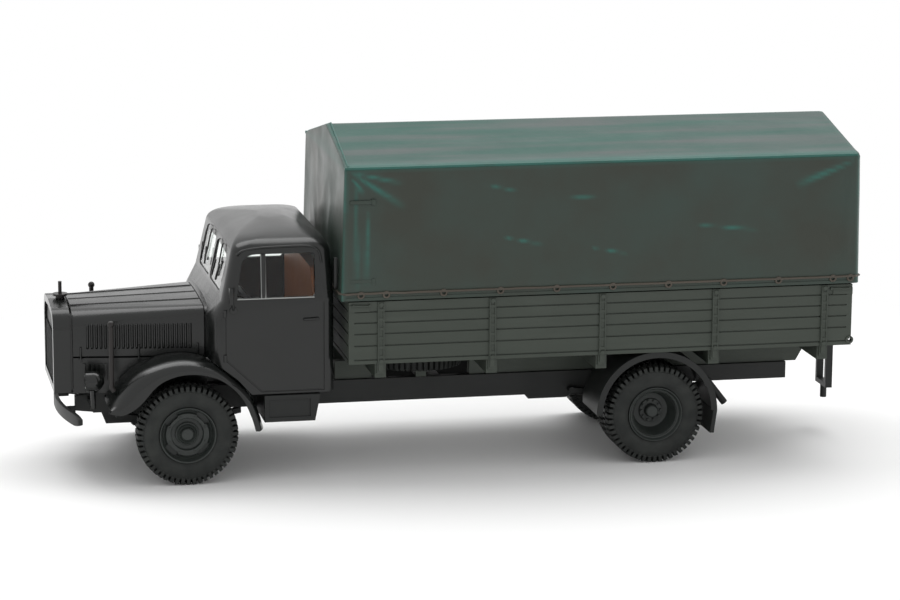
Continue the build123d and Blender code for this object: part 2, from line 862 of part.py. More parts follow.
def window_prisms(margin):
    """Bars through every window opening, smaller all round by a margin."""
    rear_mid_z = (rear_window_sill_z + rear_window_top_z) / 2
    with BuildPart() as prisms:
        with BuildSketch(Plane.XZ.offset(-cab_reach)) as side_window:
            side_outline([
                (window_front_x + margin, window_sill_z + margin),
                (window_rear_x - margin, window_sill_z + margin),
                (window_rear_x - margin, window_top_z - margin),
                (window_front_x + window_front_lean + margin, window_top_z - margin),
            ])
            fillet(side_window.vertices(), window_radius)
        extrude(amount=2 * cab_reach)
        for side in (-1, 1):
            inner = side * (screen_post_half + margin)
            outer = side * (screen_half_width - margin)
            with BuildSketch(Plane.YZ.offset(cowl_x - overrun)) as pane:
                side_outline([
                    (inner, screen_bottom_z + margin), (outer, screen_bottom_z + margin),
                    (outer, screen_top_z - screen_side_drop - margin),
                    (inner, screen_top_z - margin),
                ])
                fillet(pane.vertices(), screen_radius)
            extrude(amount=screen_cut_depth)
        with BuildSketch(Plane.YZ.offset(cab_rear_x - 2 * cab_wall)):
            with Locations((0, rear_mid_z)):
                RectangleRounded(2 * (rear_window_half - margin),
                                 rear_window_top_z - rear_window_sill_z - 2 * margin, window_radius)
        extrude(amount=2 * cab_wall + overrun)
    return prisms


cab_outside = cab_solid(0, 0)
cab_inside = cab_solid(cab_wall, overrun)
window_openings = window_prisms(0)
with BuildPart() as cab_shell:
    add(cab_outside.part)
    add(cab_inside.part, mode=Mode.SUBTRACT)
    with BuildSketch(Plane.XZ.offset(-cab_reach)):
        side_outline([
            (cowl_x - overrun, cab_sill_z - overrun), (diagonal_end_x, cab_sill_z - overrun),
            (diagonal_end_x, cab_sill_z), (door_front_x, cab_front_bottom_z),
            (cowl_x - overrun, cab_front_bottom_z),
        ])
    extrude(amount=2 * cab_reach, mode=Mode.SUBTRACT)
    add(window_openings.part, mode=Mode.SUBTRACT)
save(cab_shell, "cab_shell")

# Clear panes within the thickness of the cab's walls

glass_outside = cab_solid(glass_inset, 0)
glass_inside = cab_solid(glass_inset + glass_thickness, overrun)
pane_bars = window_prisms(seat_gap)
with BuildPart() as cab_glazing:
    add(glass_outside.part)
    add(glass_inside.part, mode=Mode.SUBTRACT)
    add(pane_bars.part, mode=Mode.INTERSECT)
save(cab_glazing, "cab_glazing")

# Cab floor with its sloping toe board, bench seat and steering wheel

inner_half = cab_half_width - cab_wall - seat_gap
floor_rear_x = cab_rear_x - cab_wall - seat_gap
toe_top_x = door_front_x + toe_board_gap
floor_space = cab_solid(cab_wall + seat_gap, overrun)
with BuildPart() as cab_floor:
    with BuildSketch(Plane.XZ.offset(-inner_half)):
        side_outline([
            (toe_top_x, toe_top_z), (diagonal_end_x + toe_board_gap, floor_z),
            (floor_rear_x, floor_z), (floor_rear_x, floor_z + floor_thickness),
            (diagonal_end_x + toe_board_gap + toe_board_step, floor_z + floor_thickness),
            (toe_top_x + toe_board_step, toe_top_z),
        ])
    extrude(amount=2 * inner_half)
    add(floor_space.part, mode=Mode.INTERSECT)
save(cab_floor, "cab_floor")

seat_rear_x = floor_rear_x - seat_back_gap
seat_front_x = seat_rear_x - seat_depth
seat_base_z = floor_z + floor_thickness + seat_gap
with BuildPart() as seat:
    with BuildSketch(Plane.XY.offset(seat_base_z)):
        with Locations(((seat_front_x + seat_rear_x) / 2, 0)):
            RectangleRounded(seat_depth, 2 * seat_half_width, seat_corner_radius)
    extrude(amount=seat_cushion_z - seat_base_z)
    with BuildSketch(Plane.YZ.offset(seat_rear_x - seat_back_thickness)) as seat_back:
        with Locations((0, seat_base_z)):
            Rectangle(2 * seat_half_width, seat_back_top_z - seat_base_z,
                      align=(Align.CENTER, Align.MIN))
        fillet(seat_back.vertices().group_by(Axis.Y)[-1], seat_corner_radius)
    extrude(amount=seat_back_thickness)
save(seat, "seat")

wheel_x = front_axle_x + steering_wheel_behind
wheel_plane = Plane(Location((wheel_x, -steering_wheel_y, steering_wheel_z), (0, steering_tilt, 0)))
with BuildPart() as steering_wheel:
    with BuildSketch(wheel_plane):
        Circle(steering_wheel_radius)
        Circle(steering_wheel_radius - 2 * steering_rim_radius, mode=Mode.SUBTRACT)
        Rectangle(2 * (steering_wheel_radius - steering_rim_radius), 2 * steering_rim_radius)
        Circle(steering_hub_radius)
    extrude(amount=steering_rim_radius, both=True)
    with BuildSketch(wheel_plane):
        Circle(column_radius)
    extrude(amount=-column_length)
save(steering_wheel, "steering_wheel")

# Front mudguards: a crown over the wheel with a turned-down outer side


def from_axle(point):
    """A place measured back from the front axle, moved into the model."""
    return (front_axle_x + point[0], point[1])


def fender_outline(shrink):
    """Side view between the crown and the wheel arch; a shrunk one opens past the arch."""
    def inside(point, away):
        x, z = from_axle(point)
        return (x + away[0] * shrink, z + away[1] * shrink)
    tip = inside(fender_tip, (1, 0))
    brow = inside(fender_brow, brow_inward_share)
    crown = inside(fender_crown, (0, -1))
    back = inside(fender_back, back_inward_share)
    tail = inside(fender_tail, (-1, tail_inward_share))
    heel = inside(fender_heel, (-1, 0))
    with BuildLine() as outline:
        ThreePointArc(tip, brow, crown)
        ThreePointArc(crown, back, tail)
        Line(tail, heel)
        if shrink:
            Polyline(heel, (heel[0], heel[1] - overrun), (tip[0], heel[1] - overrun), tip)
        else:
            Polyline(heel, from_axle(fender_toe), from_axle(arch_rear))
            ThreePointArc(from_axle(arch_rear), from_axle(arch_top), from_axle(arch_front))
            Polyline(from_axle(arch_front), from_axle(fender_chin), tip)
    make_face(outline.edges())


fender_inner_y = bonnet_front_half
fender_bonnet_gap = louvre_proud + seat_gap
with BuildPart() as front_fender_left:
    with BuildSketch(Plane.XZ.offset(fender_inner_y)):
        fender_outline(0)
    extrude(amount=fender_outer_y - fender_inner_y)
    with BuildSketch(Plane.XZ.offset(fender_inner_y - overrun)):
        fender_outline(fender_wall)
    extrude(amount=fender_outer_y - fender_inner_y + overrun - fender_wall, mode=Mode.SUBTRACT)
    with BuildSketch(Plane.XY):
        side_outline([
            (bonnet_front_x - total_length, 0), (bonnet_front_x - total_length, -bonnet_front_half),
            (bonnet_front_x, -bonnet_front_half - fender_bonnet_gap),
            (bonnet_rear_x, -bonnet_rear_half - fender_bonnet_gap),
            (bonnet_rear_x + total_length, -bonnet_rear_half - fender_bonnet_gap),
            (bonnet_rear_x + total_length, 0),
        ])
    extrude(amount=cab_crown_z, mode=Mode.SUBTRACT)
save(front_fender_left, "front_fender_left")
save(mirrored(front_fender_left), "front_fender_right")

# Steps under the doors

step_front_x = front_axle_x + step_front_behind
step_mid_z = (step_top_z + step_bottom_z) / 2
with BuildPart() as step_left:
    with BuildSketch(Plane.XZ.offset(step_inner_y)):
        side_outline([
            (step_front_x, step_top_z), (step_front_x + step_top_length, step_top_z),
            (step_front_x + step_top_length - step_bottom_inset, step_bottom_z),
            (step_front_x, step_bottom_z),
        ])
    extrude(amount=step_outer_y - step_inner_y)
    with BuildSketch(Plane.XZ.offset(step_outer_y - step_panel_depth)):
        with Locations((step_front_x + (step_top_length - step_bottom_inset) / 2, step_mid_z)):
            Rectangle(step_top_length - step_bottom_inset - 2 * step_panel_margin,
                      step_top_z - step_bottom_z - 2 * step_panel_margin)
    extrude(amount=step_panel_depth + overrun, mode=Mode.SUBTRACT)
save(step_left, "step_left")
save(mirrored(step_left), "step_right")

# Bumper blade on two irons from the frame

bumper_front_x = front_axle_x - bumper_front_ahead
blade_front = [
    # distance back from the front, distance from the middle
    (bumper_sweep, -bumper_half_length), (0, -bumper_flat_half),
    (0, bumper_flat_half), (bumper_sweep, bumper_half_length),
]
with BuildPart() as bumper:
    with BuildSketch(Plane.XY.offset(bumper_bottom_z)):
        side_outline(
            [(bumper_front_x + back, y) for back, y in blade_front]
            + [(bumper_front_x + bumper_thickness + back, y) for back, y in reversed(blade_front)]
        )
    extrude(amount=bumper_height)
    iron_x = bumper_front_x + bumper_thickness
    iron_length = rail_front_x - seat_gap - iron_x
    with Locations((iron_x, rail_outer_y - bumper_iron_width, bumper_bottom_z + bumper_height / 2),
                   (iron_x, bumper_iron_width - rail_outer_y, bumper_bottom_z + bumper_height / 2)):
        Box(iron_length, bumper_iron_width, bumper_iron_height,
            align=(Align.MIN, Align.CENTER, Align.CENTER))
save(bumper, "bumper")

# Headlamps: round shells with a clear front, on stems from the frame

lamp_front_x = front_axle_x - lamp_front_ahead
lamp_mid_x = lamp_front_x + lamp_length * lamp_stem_share
lamp_axis = Axis((lamp_front_x, -lamp_y, lamp_z), (1, 0, 0))
with BuildPart() as headlamp_left:
    with BuildSketch(Plane.XZ.offset(lamp_y)):
        with BuildLine():
            Line((lamp_front_x + lamp_glass + seat_gap, lamp_z),
                 (lamp_front_x + lamp_glass + seat_gap, lamp_z + lamp_radius - lamp_rim))
            Polyline((lamp_front_x + lamp_glass + seat_gap, lamp_z + lamp_radius - lamp_rim),
                     (lamp_front_x, lamp_z + lamp_radius - lamp_rim),
                     (lamp_front_x, lamp_z + lamp_radius),
                     (lamp_front_x + lamp_length * lamp_drum_share, lamp_z + lamp_radius))
            ThreePointArc((lamp_front_x + lamp_length * lamp_drum_share, lamp_z + lamp_radius),
                          (lamp_front_x + lamp_length * lamp_bulge_share,
                           lamp_z + lamp_radius * lamp_bulge_share),
                          (lamp_front_x + lamp_length, lamp_z))
            Line((lamp_front_x + lamp_length, lamp_z),
                 (lamp_front_x + lamp_glass + seat_gap, lamp_z))
        make_face()
    revolve(axis=lamp_axis)
    with BuildSketch(Plane.XY.offset(lamp_stem_bottom_z)):
        with Locations((lamp_mid_x, -lamp_y)):
            Circle(lamp_stem_radius)
    extrude(amount=lamp_z - lamp_stem_bottom_z)
    with BuildSketch(Plane.XZ.offset(rail_outer_y + seat_gap)):
        with Locations((lamp_mid_x, lamp_stem_bottom_z + lamp_bracket_height / 2)):
            Rectangle(2 * lamp_stem_radius, lamp_bracket_height)
    extrude(amount=lamp_y - rail_outer_y - seat_gap)
save(headlamp_left, "headlamp_left")
save(mirrored(headlamp_left), "headlamp_right")

with BuildPart() as lamp_glasses:
    with BuildSketch(Plane.YZ.offset(lamp_front_x)):
        with Locations((-lamp_y, lamp_z), (lamp_y, lamp_z)):
            Circle(lamp_radius - lamp_rim - seat_gap)
    extrude(amount=lamp_glass)
save(lamp_glasses, "lamp_glasses")

# Width markers: bent rods with balls, standing on the front mudguards

marker_x = front_axle_x - marker_ahead
with BuildPart() as marker_left:
    with BuildSketch(Plane(origin=(marker_x, -marker_y, marker_ball_z), z_dir=(0, 0, -1))):
        Circle(marker_rod_radius)
    extrude(amount=marker_ball_z - marker_bend_z)
    foot = Vector(marker_foot_back, 0, marker_foot_z - marker_bend_z)
    with Locations((marker_x, -marker_y, marker_bend_z)):
        Sphere(marker_rod_radius)
    with BuildSketch(Plane(origin=(marker_x, -marker_y, marker_bend_z), z_dir=foot)):
        Circle(marker_rod_radius)
    extrude(amount=foot.length)
    with Locations((marker_x, -marker_y, marker_ball_z)):
        Sphere(marker_ball_radius)
save(marker_left, "marker_left")
save(mirrored(marker_left), "marker_right")

# Mirrors at the door pillars

mirror_x = front_axle_x + mirror_x_behind
mirror_y = cab_half_width + mirror_stand_off
with BuildPart() as mirror_left:
    with BuildSketch(Plane.XY.offset(mirror_top_z - mirror_drop)):
        with Locations((mirror_x, -mirror_y)):
            Circle(mirror_arm_radius)
    extrude(amount=mirror_drop)
    round_bar(mirror_x, mirror_y - mirror_stand_off, mirror_y, mirror_top_z - mirror_arm_radius,
              mirror_arm_radius)
    round_bar(mirror_x, mirror_y - mirror_thickness / 2, mirror_y + mirror_thickness / 2,
              mirror_top_z - mirror_drop, mirror_radius)
save(mirror_left, "mirror_left")
save(mirrored(mirror_left), "mirror_right")

# Direction arms on the rear corners of the cab

with BuildPart() as direction_arm_left:
    with Locations((cab_rear_x + seat_gap, arm_y, arm_top_z)):
        Box(arm_depth, arm_width, arm_length, align=(Align.MIN, Align.CENTER, Align.MAX))
save(direction_arm_left, "direction_arm_left")
save(mirrored(direction_arm_left), "direction_arm_right")

# Load bed: planked sides with posts, end boards and floor

bed_length_x = bed_rear_x - bed_front_x
bed_mid_x = (bed_rear_x + bed_front_x) / 2
board_height = bed_top_z - bed_bottom_z
with BuildPart() as bed_side_left:
    with Locations((bed_mid_x, -bed_half_width, bed_bottom_z)):
        Box(bed_length_x, board_thickness, board_height,
            align=(Align.CENTER, Align.MIN, Align.MIN))
    for joint_z in plank_joint_z + [rail_line_z]:
        with Locations((bed_mid_x, -bed_half_width, joint_z)):
            Box(bed_length_x - 2 * corner_post_width, 2 * groove_depth, plank_groove,
                mode=Mode.SUBTRACT)
    for share in post_shares:
        with Locations((bed_front_x + share * bed_length_x, -bed_half_width, bed_bottom_z)):
            Box(post_width, 2 * post_proud, board_height,
                align=(Align.CENTER, Align.CENTER, Align.MIN))
    for end_x, towards in ((bed_front_x, Align.MIN), (bed_rear_x, Align.MAX)):
        with Locations((end_x, -bed_half_width, bed_top_z - latch_top_drop)):
            Box(latch_length, 2 * latch_proud, latch_height, align=(towards, Align.CENTER, Align.MAX))
    round_bar(bed_rear_x - ring_inset, bed_half_width - board_thickness,
              bed_half_width + post_proud, ring_z, ring_radius)
    with BuildSketch(Plane.XZ.offset(bed_half_width - board_thickness)):
        with Locations((bed_rear_x - ring_inset, ring_z)):
            Circle(ring_radius - ring_wire)
    extrude(amount=board_thickness + 2 * post_proud, mode=Mode.SUBTRACT)
save(bed_side_left, "bed_side_left")
save(mirrored(bed_side_left), "bed_side_right")


def end_board(outer_x, towards):
    """Planked board across the bed, its outer face at outer_x."""
    with BuildPart() as board:
        with Locations((outer_x, 0, bed_bottom_z)):
            Box(board_thickness, 2 * (bed_half_width - board_thickness - seat_gap), board_height,
                align=(towards, Align.CENTER, Align.MIN))
        for joint_z in plank_joint_z + [rail_line_z]:
            with Locations((outer_x, 0, joint_z)):
                Box(2 * groove_depth, 2 * bed_half_width, plank_groove, mode=Mode.SUBTRACT)
    return board


save(end_board(bed_front_x, Align.MIN), "bed_headboard")
save(end_board(bed_rear_x, Align.MAX), "bed_tailboard")

inner_bed_half = bed_half_width - board_thickness - seat_gap
inner_bed_length = bed_length_x - 2 * (board_thickness + seat_gap)
with BuildPart() as bed_floor:
    with Locations((bed_mid_x, 0, bed_floor_z)):
        Box(inner_bed_length, 2 * inner_bed_half, bed_floor_thickness,
            align=(Align.CENTER, Align.CENTER, Align.MIN))
save(bed_floor, "bed_floor")

# Bearers on the frame, cross bearers with stake brackets, and the spare wheel's carrier

post_x = [bed_front_x + share * bed_length_x for share in post_shares]
spare_x = (post_x[0] + post_x[1]) / 2
bearer_z = rail_top_z + seat_gap
cross_z = bearer_z + bearer_height
bearer_rear_x = bed_rear_x - bearer_rear_inset
bearer_spans = [
    (bed_front_x, post_x[0] + cross_bearer_width / 2),
    (post_x[1] - cross_bearer_width / 2, bearer_rear_x),
]
with BuildPart() as bed_subframe:
    for start_x, end_x in bearer_spans:
        slant = bearer_slant if end_x == bearer_rear_x else 0
        with BuildSketch(Plane.XZ.offset(bearer_y - bearer_width / 2)):
            side_outline([(start_x, bearer_z), (end_x - slant, bearer_z),
                          (end_x, cross_z), (start_x, cross_z)])
        extrude(amount=bearer_width)
    mirror(about=Plane.XZ)
    for x in post_x:
        with Locations((x, 0, cross_z)):
            Box(cross_bearer_width, 2 * cross_bearer_half, bed_bottom_z - seat_gap - cross_z,
                align=(Align.CENTER, Align.CENTER, Align.MIN))
    with Locations((spare_x, 0, bearer_z)):
        Box(carrier_width, 2 * rail_outer_y, carrier_height,
            align=(Align.CENTER, Align.CENTER, Align.MIN))
save(bed_subframe, "bed_subframe")

# Spare wheel lying on its carrier

spare_z = bearer_z + carrier_height + seat_gap + half_tyre
with BuildPart() as spare_tyre:
    with BuildSketch(Plane(origin=(spare_x, 0, spare_z), x_dir=(0, 0, 1), z_dir=(0, -1, 0))):
        side_outline(tyre_outline())
    revolve(axis=Axis((spare_x, 0, spare_z), (0, 0, 1)))
    with Locations((spare_x, 0, spare_z)):
        with PolarLocations((lug_root_radius + tyre_radius) / 2, lug_count):
            Box(tyre_radius - lug_root_radius, lug_length, tyre_width * lug_width_share)
save(spare_tyre, "spare_tyre")

with BuildPart() as spare_rim:
    with Locations((spare_x, 0, spare_z)):
        Cylinder(tyre_bore_radius - seat_gap, tyre_width - 2 * rim_edge_inset)
        Cylinder(tyre_bore_radius - seat_gap - rim_wall, tyre_width, mode=Mode.SUBTRACT)
        Cylinder(tyre_bore_radius - seat_gap - rim_wall / 2, disc_thickness)
    with BuildSketch(Plane.XY.offset(spare_z - half_tyre)):
        with Locations((spare_x, 0)):
            Circle(front_hub_radius)
    extrude(amount=half_tyre)
save(spare_rim, "spare_rim")

# Tarp: a closed hood with a ridged roof and leaning ends, open below

tarp_front_x = bed_front_x - tarp_front_ahead
tarp_rear_x = bed_rear_x + tarp_rear_behind


def tarp_end(half, eave_half, eave_z, ridge_z, bottom_z):
    """End view of the hood: leaning sides and a low ridge."""
    side_outline([(-half, bottom_z), (half, bottom_z), (eave_half, eave_z), (0, ridge_z),
                  (-eave_half, eave_z)])


def tarp_ends_cut(inset):
    """Side view of the hood between its leaning ends."""
    rise_share = (tarp_ridge_z - tarp_bottom_z) / (tarp_eave_z - tarp_bottom_z)
    front_lean = tarp_front_lean * rise_share
    rear_lean = tarp_rear_lean * rise_share
    side_outline([
        (tarp_front_x + inset, tarp_bottom_z - overrun), (tarp_front_x + inset, tarp_bottom_z),
        (tarp_front_x + front_lean + inset, tarp_ridge_z - inset),
        (tarp_rear_x - rear_lean - inset, tarp_ridge_z - inset),
        (tarp_rear_x - inset, tarp_bottom_z), (tarp_rear_x - inset, tarp_bottom_z - overrun),
    ])


def tarp_solid(inset, past):
    """Solid hood, smaller all round by an inset and deeper below."""
    with BuildPart() as solid:
        with BuildSketch(Plane.YZ.offset(tarp_front_x)):
            tarp_end(tarp_half_width - inset, tarp_eave_half - inset, tarp_eave_z - inset,
                     tarp_ridge_z - inset, tarp_bottom_z - past)
        extrude(amount=tarp_rear_x - tarp_front_x)
        with BuildSketch(Plane.XZ.offset(-tarp_half_width)):
            tarp_ends_cut(inset)
        extrude(amount=2 * tarp_half_width, mode=Mode.INTERSECT)
    return solid


tarp_outside = tarp_solid(0, 0)
tarp_inside = tarp_solid(tarp_wall, overrun)
plug_half = inner_bed_half - seat_gap
with BuildPart() as tarp:
    add(tarp_outside.part)
    add(tarp_inside.part, mode=Mode.SUBTRACT)
    with Locations((bed_mid_x, -plug_half, tarp_bottom_z - tarp_plug_depth)):
        Box(inner_bed_length - seat_gap, tarp_plug_wall, tarp_plug_depth + tarp_wall,
            align=(Align.CENTER, Align.MIN, Align.MIN))
    with Locations((bed_mid_x, plug_half, tarp_bottom_z - tarp_plug_depth)):
        Box(inner_bed_length - seat_gap, tarp_plug_wall, tarp_plug_depth + tarp_wall,
            align=(Align.CENTER, Align.MAX, Align.MIN))
save(tarp, "tarp")

# Rear mudguards: half hoops with a rolled outer lip and a flap behind the wheel

guard_x = rear_axle_x
flap_x = guard_x + guard_radius - guard_wall
with BuildPart() as rear_guard_left:
    with BuildSketch(Plane.XZ.offset(guard_inner_y)) as hoop:
        with Locations((guard_x, guard_centre_z)):
            Circle(guard_radius)
            Circle(guard_radius - guard_wall, mode=Mode.SUBTRACT)
            Rectangle(2 * guard_radius + overrun, guard_radius + overrun,
                      align=(Align.CENTER, Align.MAX), mode=Mode.SUBTRACT)
    extrude(amount=guard_outer_y - guard_inner_y)
    with BuildSketch(Plane.XZ.offset(guard_outer_y - guard_lip_wall)) as lip:
        with Locations((guard_x, guard_centre_z)):
            Circle(guard_radius)
            Circle(guard_radius - guard_lip, mode=Mode.SUBTRACT)
            Rectangle(2 * guard_radius + overrun, guard_radius + overrun,
                      align=(Align.CENTER, Align.MAX), mode=Mode.SUBTRACT)
    extrude(amount=guard_lip_wall)
    with BuildSketch(Plane.XZ.offset(guard_inner_y)):
        side_outline([
            (flap_x, guard_centre_z), (flap_x + guard_wall, guard_centre_z),
            (flap_x + guard_wall - flap_taper, guard_centre_z - flap_height),
            (flap_x + guard_wall - flap_taper - flap_thickness, guard_centre_z - flap_height),
            (flap_x + guard_wall - flap_thickness, guard_centre_z),
        ])
    extrude(amount=guard_outer_y - guard_inner_y)
save(rear_guard_left, "rear_guard_left")
save(mirrored(rear_guard_left), "rear_guard_right")

# Tail pipe: straight runs joined behind the rear wheel on the driver's side

pipe_points = [
    (rear_axle_x + pipe_start_behind, rail_outer_y + pipe_radius + seat_gap, pipe_start_z),
    (rear_axle_x + pipe_mid_behind, pipe_y, pipe_mid_z),
    (rear_axle_x + pipe_end_behind, pipe_y, pipe_end_z),
]
with BuildPart() as tail_pipe:
    for start, end in zip(pipe_points, pipe_points[1:]):
        run = Vector(end[0] - start[0], start[1] - end[1], end[2] - start[2])
        with BuildSketch(Plane(origin=(start[0], -start[1], start[2]), z_dir=run)):
            Circle(pipe_radius)
        extrude(amount=run.length)
        with Locations((start[0], -start[1], start[2])):
            Sphere(pipe_radius)
save(tail_pipe, "tail_pipe")

# Tow coupling: an arm from the last cross bearer, a hanging loop and a pin below it

coupling_x = bed_rear_x + coupling_reach - coupling_depth
arm_x = post_x[-1] + cross_bearer_width / 2 + seat_gap
with BuildPart() as tow_coupling:
    with Locations((arm_x, 0, coupling_top_z + tow_arm_lift)):
        Box(coupling_x + coupling_depth - arm_x, tow_arm_width, tow_arm_height,
            align=(Align.MIN, Align.CENTER, Align.MIN))
    with BuildSketch(Plane.YZ.offset(coupling_x)):
        with Locations((0, coupling_bottom_z)):
            Rectangle(2 * coupling_half_width, coupling_top_z + tow_arm_lift - coupling_bottom_z,
                      align=(Align.CENTER, Align.MIN))
        with Locations((0, coupling_bottom_z + coupling_bar)):
            Rectangle(2 * (coupling_half_width - coupling_bar),
                      coupling_top_z - coupling_bottom_z - 2 * coupling_bar,
                      align=(Align.CENTER, Align.MIN), mode=Mode.SUBTRACT)
    extrude(amount=coupling_depth)
    with BuildSketch(Plane.XY.offset(coupling_bottom_z)):
        with Locations((coupling_x + coupling_depth / 2, 0)):
            Circle(tow_pin_radius)
    extrude(amount=-tow_pin_length)
save(tow_coupling, "tow_coupling")
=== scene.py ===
import json
import math

import bmesh
import bpy
from mathutils import Matrix, Vector, noise

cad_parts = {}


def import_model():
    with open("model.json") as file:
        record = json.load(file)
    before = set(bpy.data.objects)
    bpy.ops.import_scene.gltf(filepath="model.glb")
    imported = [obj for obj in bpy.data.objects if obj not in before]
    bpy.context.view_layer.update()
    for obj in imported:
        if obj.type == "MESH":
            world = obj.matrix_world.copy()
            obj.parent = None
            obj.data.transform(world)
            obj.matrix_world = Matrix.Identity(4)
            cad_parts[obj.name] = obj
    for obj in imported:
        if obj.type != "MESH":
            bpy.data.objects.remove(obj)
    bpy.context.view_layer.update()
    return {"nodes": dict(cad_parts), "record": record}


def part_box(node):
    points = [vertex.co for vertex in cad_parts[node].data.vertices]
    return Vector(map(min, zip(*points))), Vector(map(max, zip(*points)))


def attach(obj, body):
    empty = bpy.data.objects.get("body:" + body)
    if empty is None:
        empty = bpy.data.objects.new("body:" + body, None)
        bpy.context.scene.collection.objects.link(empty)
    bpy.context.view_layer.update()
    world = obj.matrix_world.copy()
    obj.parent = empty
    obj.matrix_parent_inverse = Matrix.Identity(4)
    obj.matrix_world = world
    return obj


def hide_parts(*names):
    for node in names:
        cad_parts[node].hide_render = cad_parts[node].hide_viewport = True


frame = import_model()

# Shapes are worked out in millimetres of the model's own frame and scaled once to metres
MM = 0.001
TURN = 2 * math.pi
LEFT, RIGHT = -1, 1
SIDES = ((LEFT, "left"), (RIGHT, "right"))


def mm_box(node):
    """Lowest and highest corner of a node in millimetres."""
    low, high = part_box(node)
    return Vector(low) / MM, Vector(high) / MM


# Places taken from the frame
tarp_low, tarp_high = mm_box("tarp")
side_low = mm_box("bed_side_left")[0]
bonnet_low, bonnet_high = mm_box("bonnet")
front_tyre_low, front_tyre_high = mm_box("front_tyre_left")
rear_tyre_low, rear_tyre_high = mm_box("rear_tyres_left")
front_axle_x = (front_tyre_low.x + front_tyre_high.x) / 2
rear_axle_x = (rear_tyre_low.x + rear_tyre_high.x) / 2
axle_z = (front_tyre_low.z + front_tyre_high.z) / 2
tyre_radius = (front_tyre_high.z - front_tyre_low.z) / 2
spare_low, spare_high = mm_box("spare_tyre")


# Materials

def linear(*screen):
    """Linear colour from screen values between 0 and 255."""
    shares = [value / 255 for value in screen]
    return (*[s / 12.92 if s <= 0.04045 else ((s + 0.055) / 1.055) ** 2.4 for s in shares], 1.0)


class Nodes:
    """The node tree of a material or a world, with short ways to add and join nodes."""

    def __init__(self, owner):
        owner.use_nodes = True
        self.owner = owner
        self.tree = owner.node_tree

    def feed(self, node, inputs):
        """Give each named input a plain value or the output of another node."""
        for key, value in inputs.items():
            if isinstance(value, bpy.types.NodeSocket):
                self.tree.links.new(value, node.inputs[key])
            else:
                node.inputs[key].default_value = value

    def add(self, kind, inputs=None, **values):
        """Add a node, set it up and give back its outputs."""
        node = self.tree.nodes.new(kind)
        for key, value in values.items():
            setattr(node, key, value)
        self.feed(node, inputs or {})
        return node.outputs

    def maths(self, how, first, second, **values):
        return self.add("ShaderNodeMath", {0: first, 1: second}, operation=how, **values)[0]


class Paint(Nodes):
    """A material's nodes around its shader."""

    def __init__(self, name):
        super().__init__(bpy.data.materials.new(name))
        self.shader = self.tree.nodes["Principled BSDF"]
        self.place = self.add("ShaderNodeTexCoord")["Object"]

    def noise(self, size_mm, stretch=(1, 1, 1), detail=3.0):
        """Noise whose patches are about size_mm across, longer where stretch is over 1."""
        scale = [1 / (size_mm * MM * share) for share in stretch]
        place = self.add("ShaderNodeMapping", {"Vector": self.place, "Scale": scale})["Vector"]
        return self.add("ShaderNodeTexNoise", {"Vector": place, "Scale": 1.0, "Detail": detail})["Fac"]

    def ramp(self, value, start, end, low=0.0, high=1.0):
        """Value carried from the span start..end to the span low..high."""
        return self.add("ShaderNodeMapRange", {"Value": value, "From Min": start, "From Max": end,
                                               "To Min": low, "To Max": high})["Result"]

    def mix(self, share, first, second):
        """Colour between first and second; each is a colour or another node's output."""
        return self.add("ShaderNodeMix", {"Factor": share, 6: first, 7: second}, data_type="RGBA")[2]

    def attribute(self, name):
        return self.add("ShaderNodeAttribute", attribute_name=name)["Fac"]

    def finish(self, colour, roughness, spread, edge_mm, relief, **fixed):
        """Colour, uneven gloss, rounded edges, fine relief from (noise, depth in mm) pairs, fixed inputs."""
        gloss = self.ramp(self.noise(5.0, detail=4.0), 0.3, 0.7, roughness - spread, roughness + spread)
        self.feed(self.shader, {"Base Color": colour, "Roughness": gloss})
        self.feed(self.shader, {key.replace("_", " "): value for key, value in fixed.items()})
        normal = {}
        if edge_mm:
            bevel = self.add("ShaderNodeBevel", {"Radius": edge_mm * MM}, samples=4)
            normal = {"Normal": bevel["Normal"]}
        for height, depth_mm in relief:
            bump = self.add("ShaderNodeBump", {"Distance": depth_mm * MM, "Height": height, **normal})
            normal = {"Normal": bump["Normal"]}
        self.feed(self.shader, normal)
        return self.owner


def plastic(name, colour, worn, roughness, edge_mm=0.07, specular=0.34, metal=0.0):
    """Moulded plastic: cloudy colour, flow marks along the part and a fine grain."""
    nodes = Paint(name)
    cloud = nodes.ramp(nodes.noise(7.0, detail=4.0), 0.35, 0.7)
    streak = nodes.ramp(nodes.noise(1.2, stretch=(9, 1, 1)), 0.45, 0.75, 0.0, 0.5)
    return nodes.finish(nodes.mix(nodes.maths("MULTIPLY", cloud, streak), colour, worn), roughness, 0.05,
                        edge_mm, [(nodes.noise(0.12), 0.004), (nodes.noise(1.6), 0.012)],
                        Specular_IOR_Level=specular, Metallic=metal)


def rubber(name):
    """Soft black-grey tyre plastic, dull, paler where it was handled."""
    nodes = Paint(name)
    cloud = nodes.ramp(nodes.noise(1.6, detail=5.0), 0.35, 0.75)
    return nodes.finish(nodes.mix(cloud, linear(36, 38, 37), linear(50, 52, 50)), 0.6, 0.08, 0.05,
                        [(nodes.noise(0.1), 0.006), (nodes.noise(0.9), 0.02)], Specular_IOR_Level=0.2)


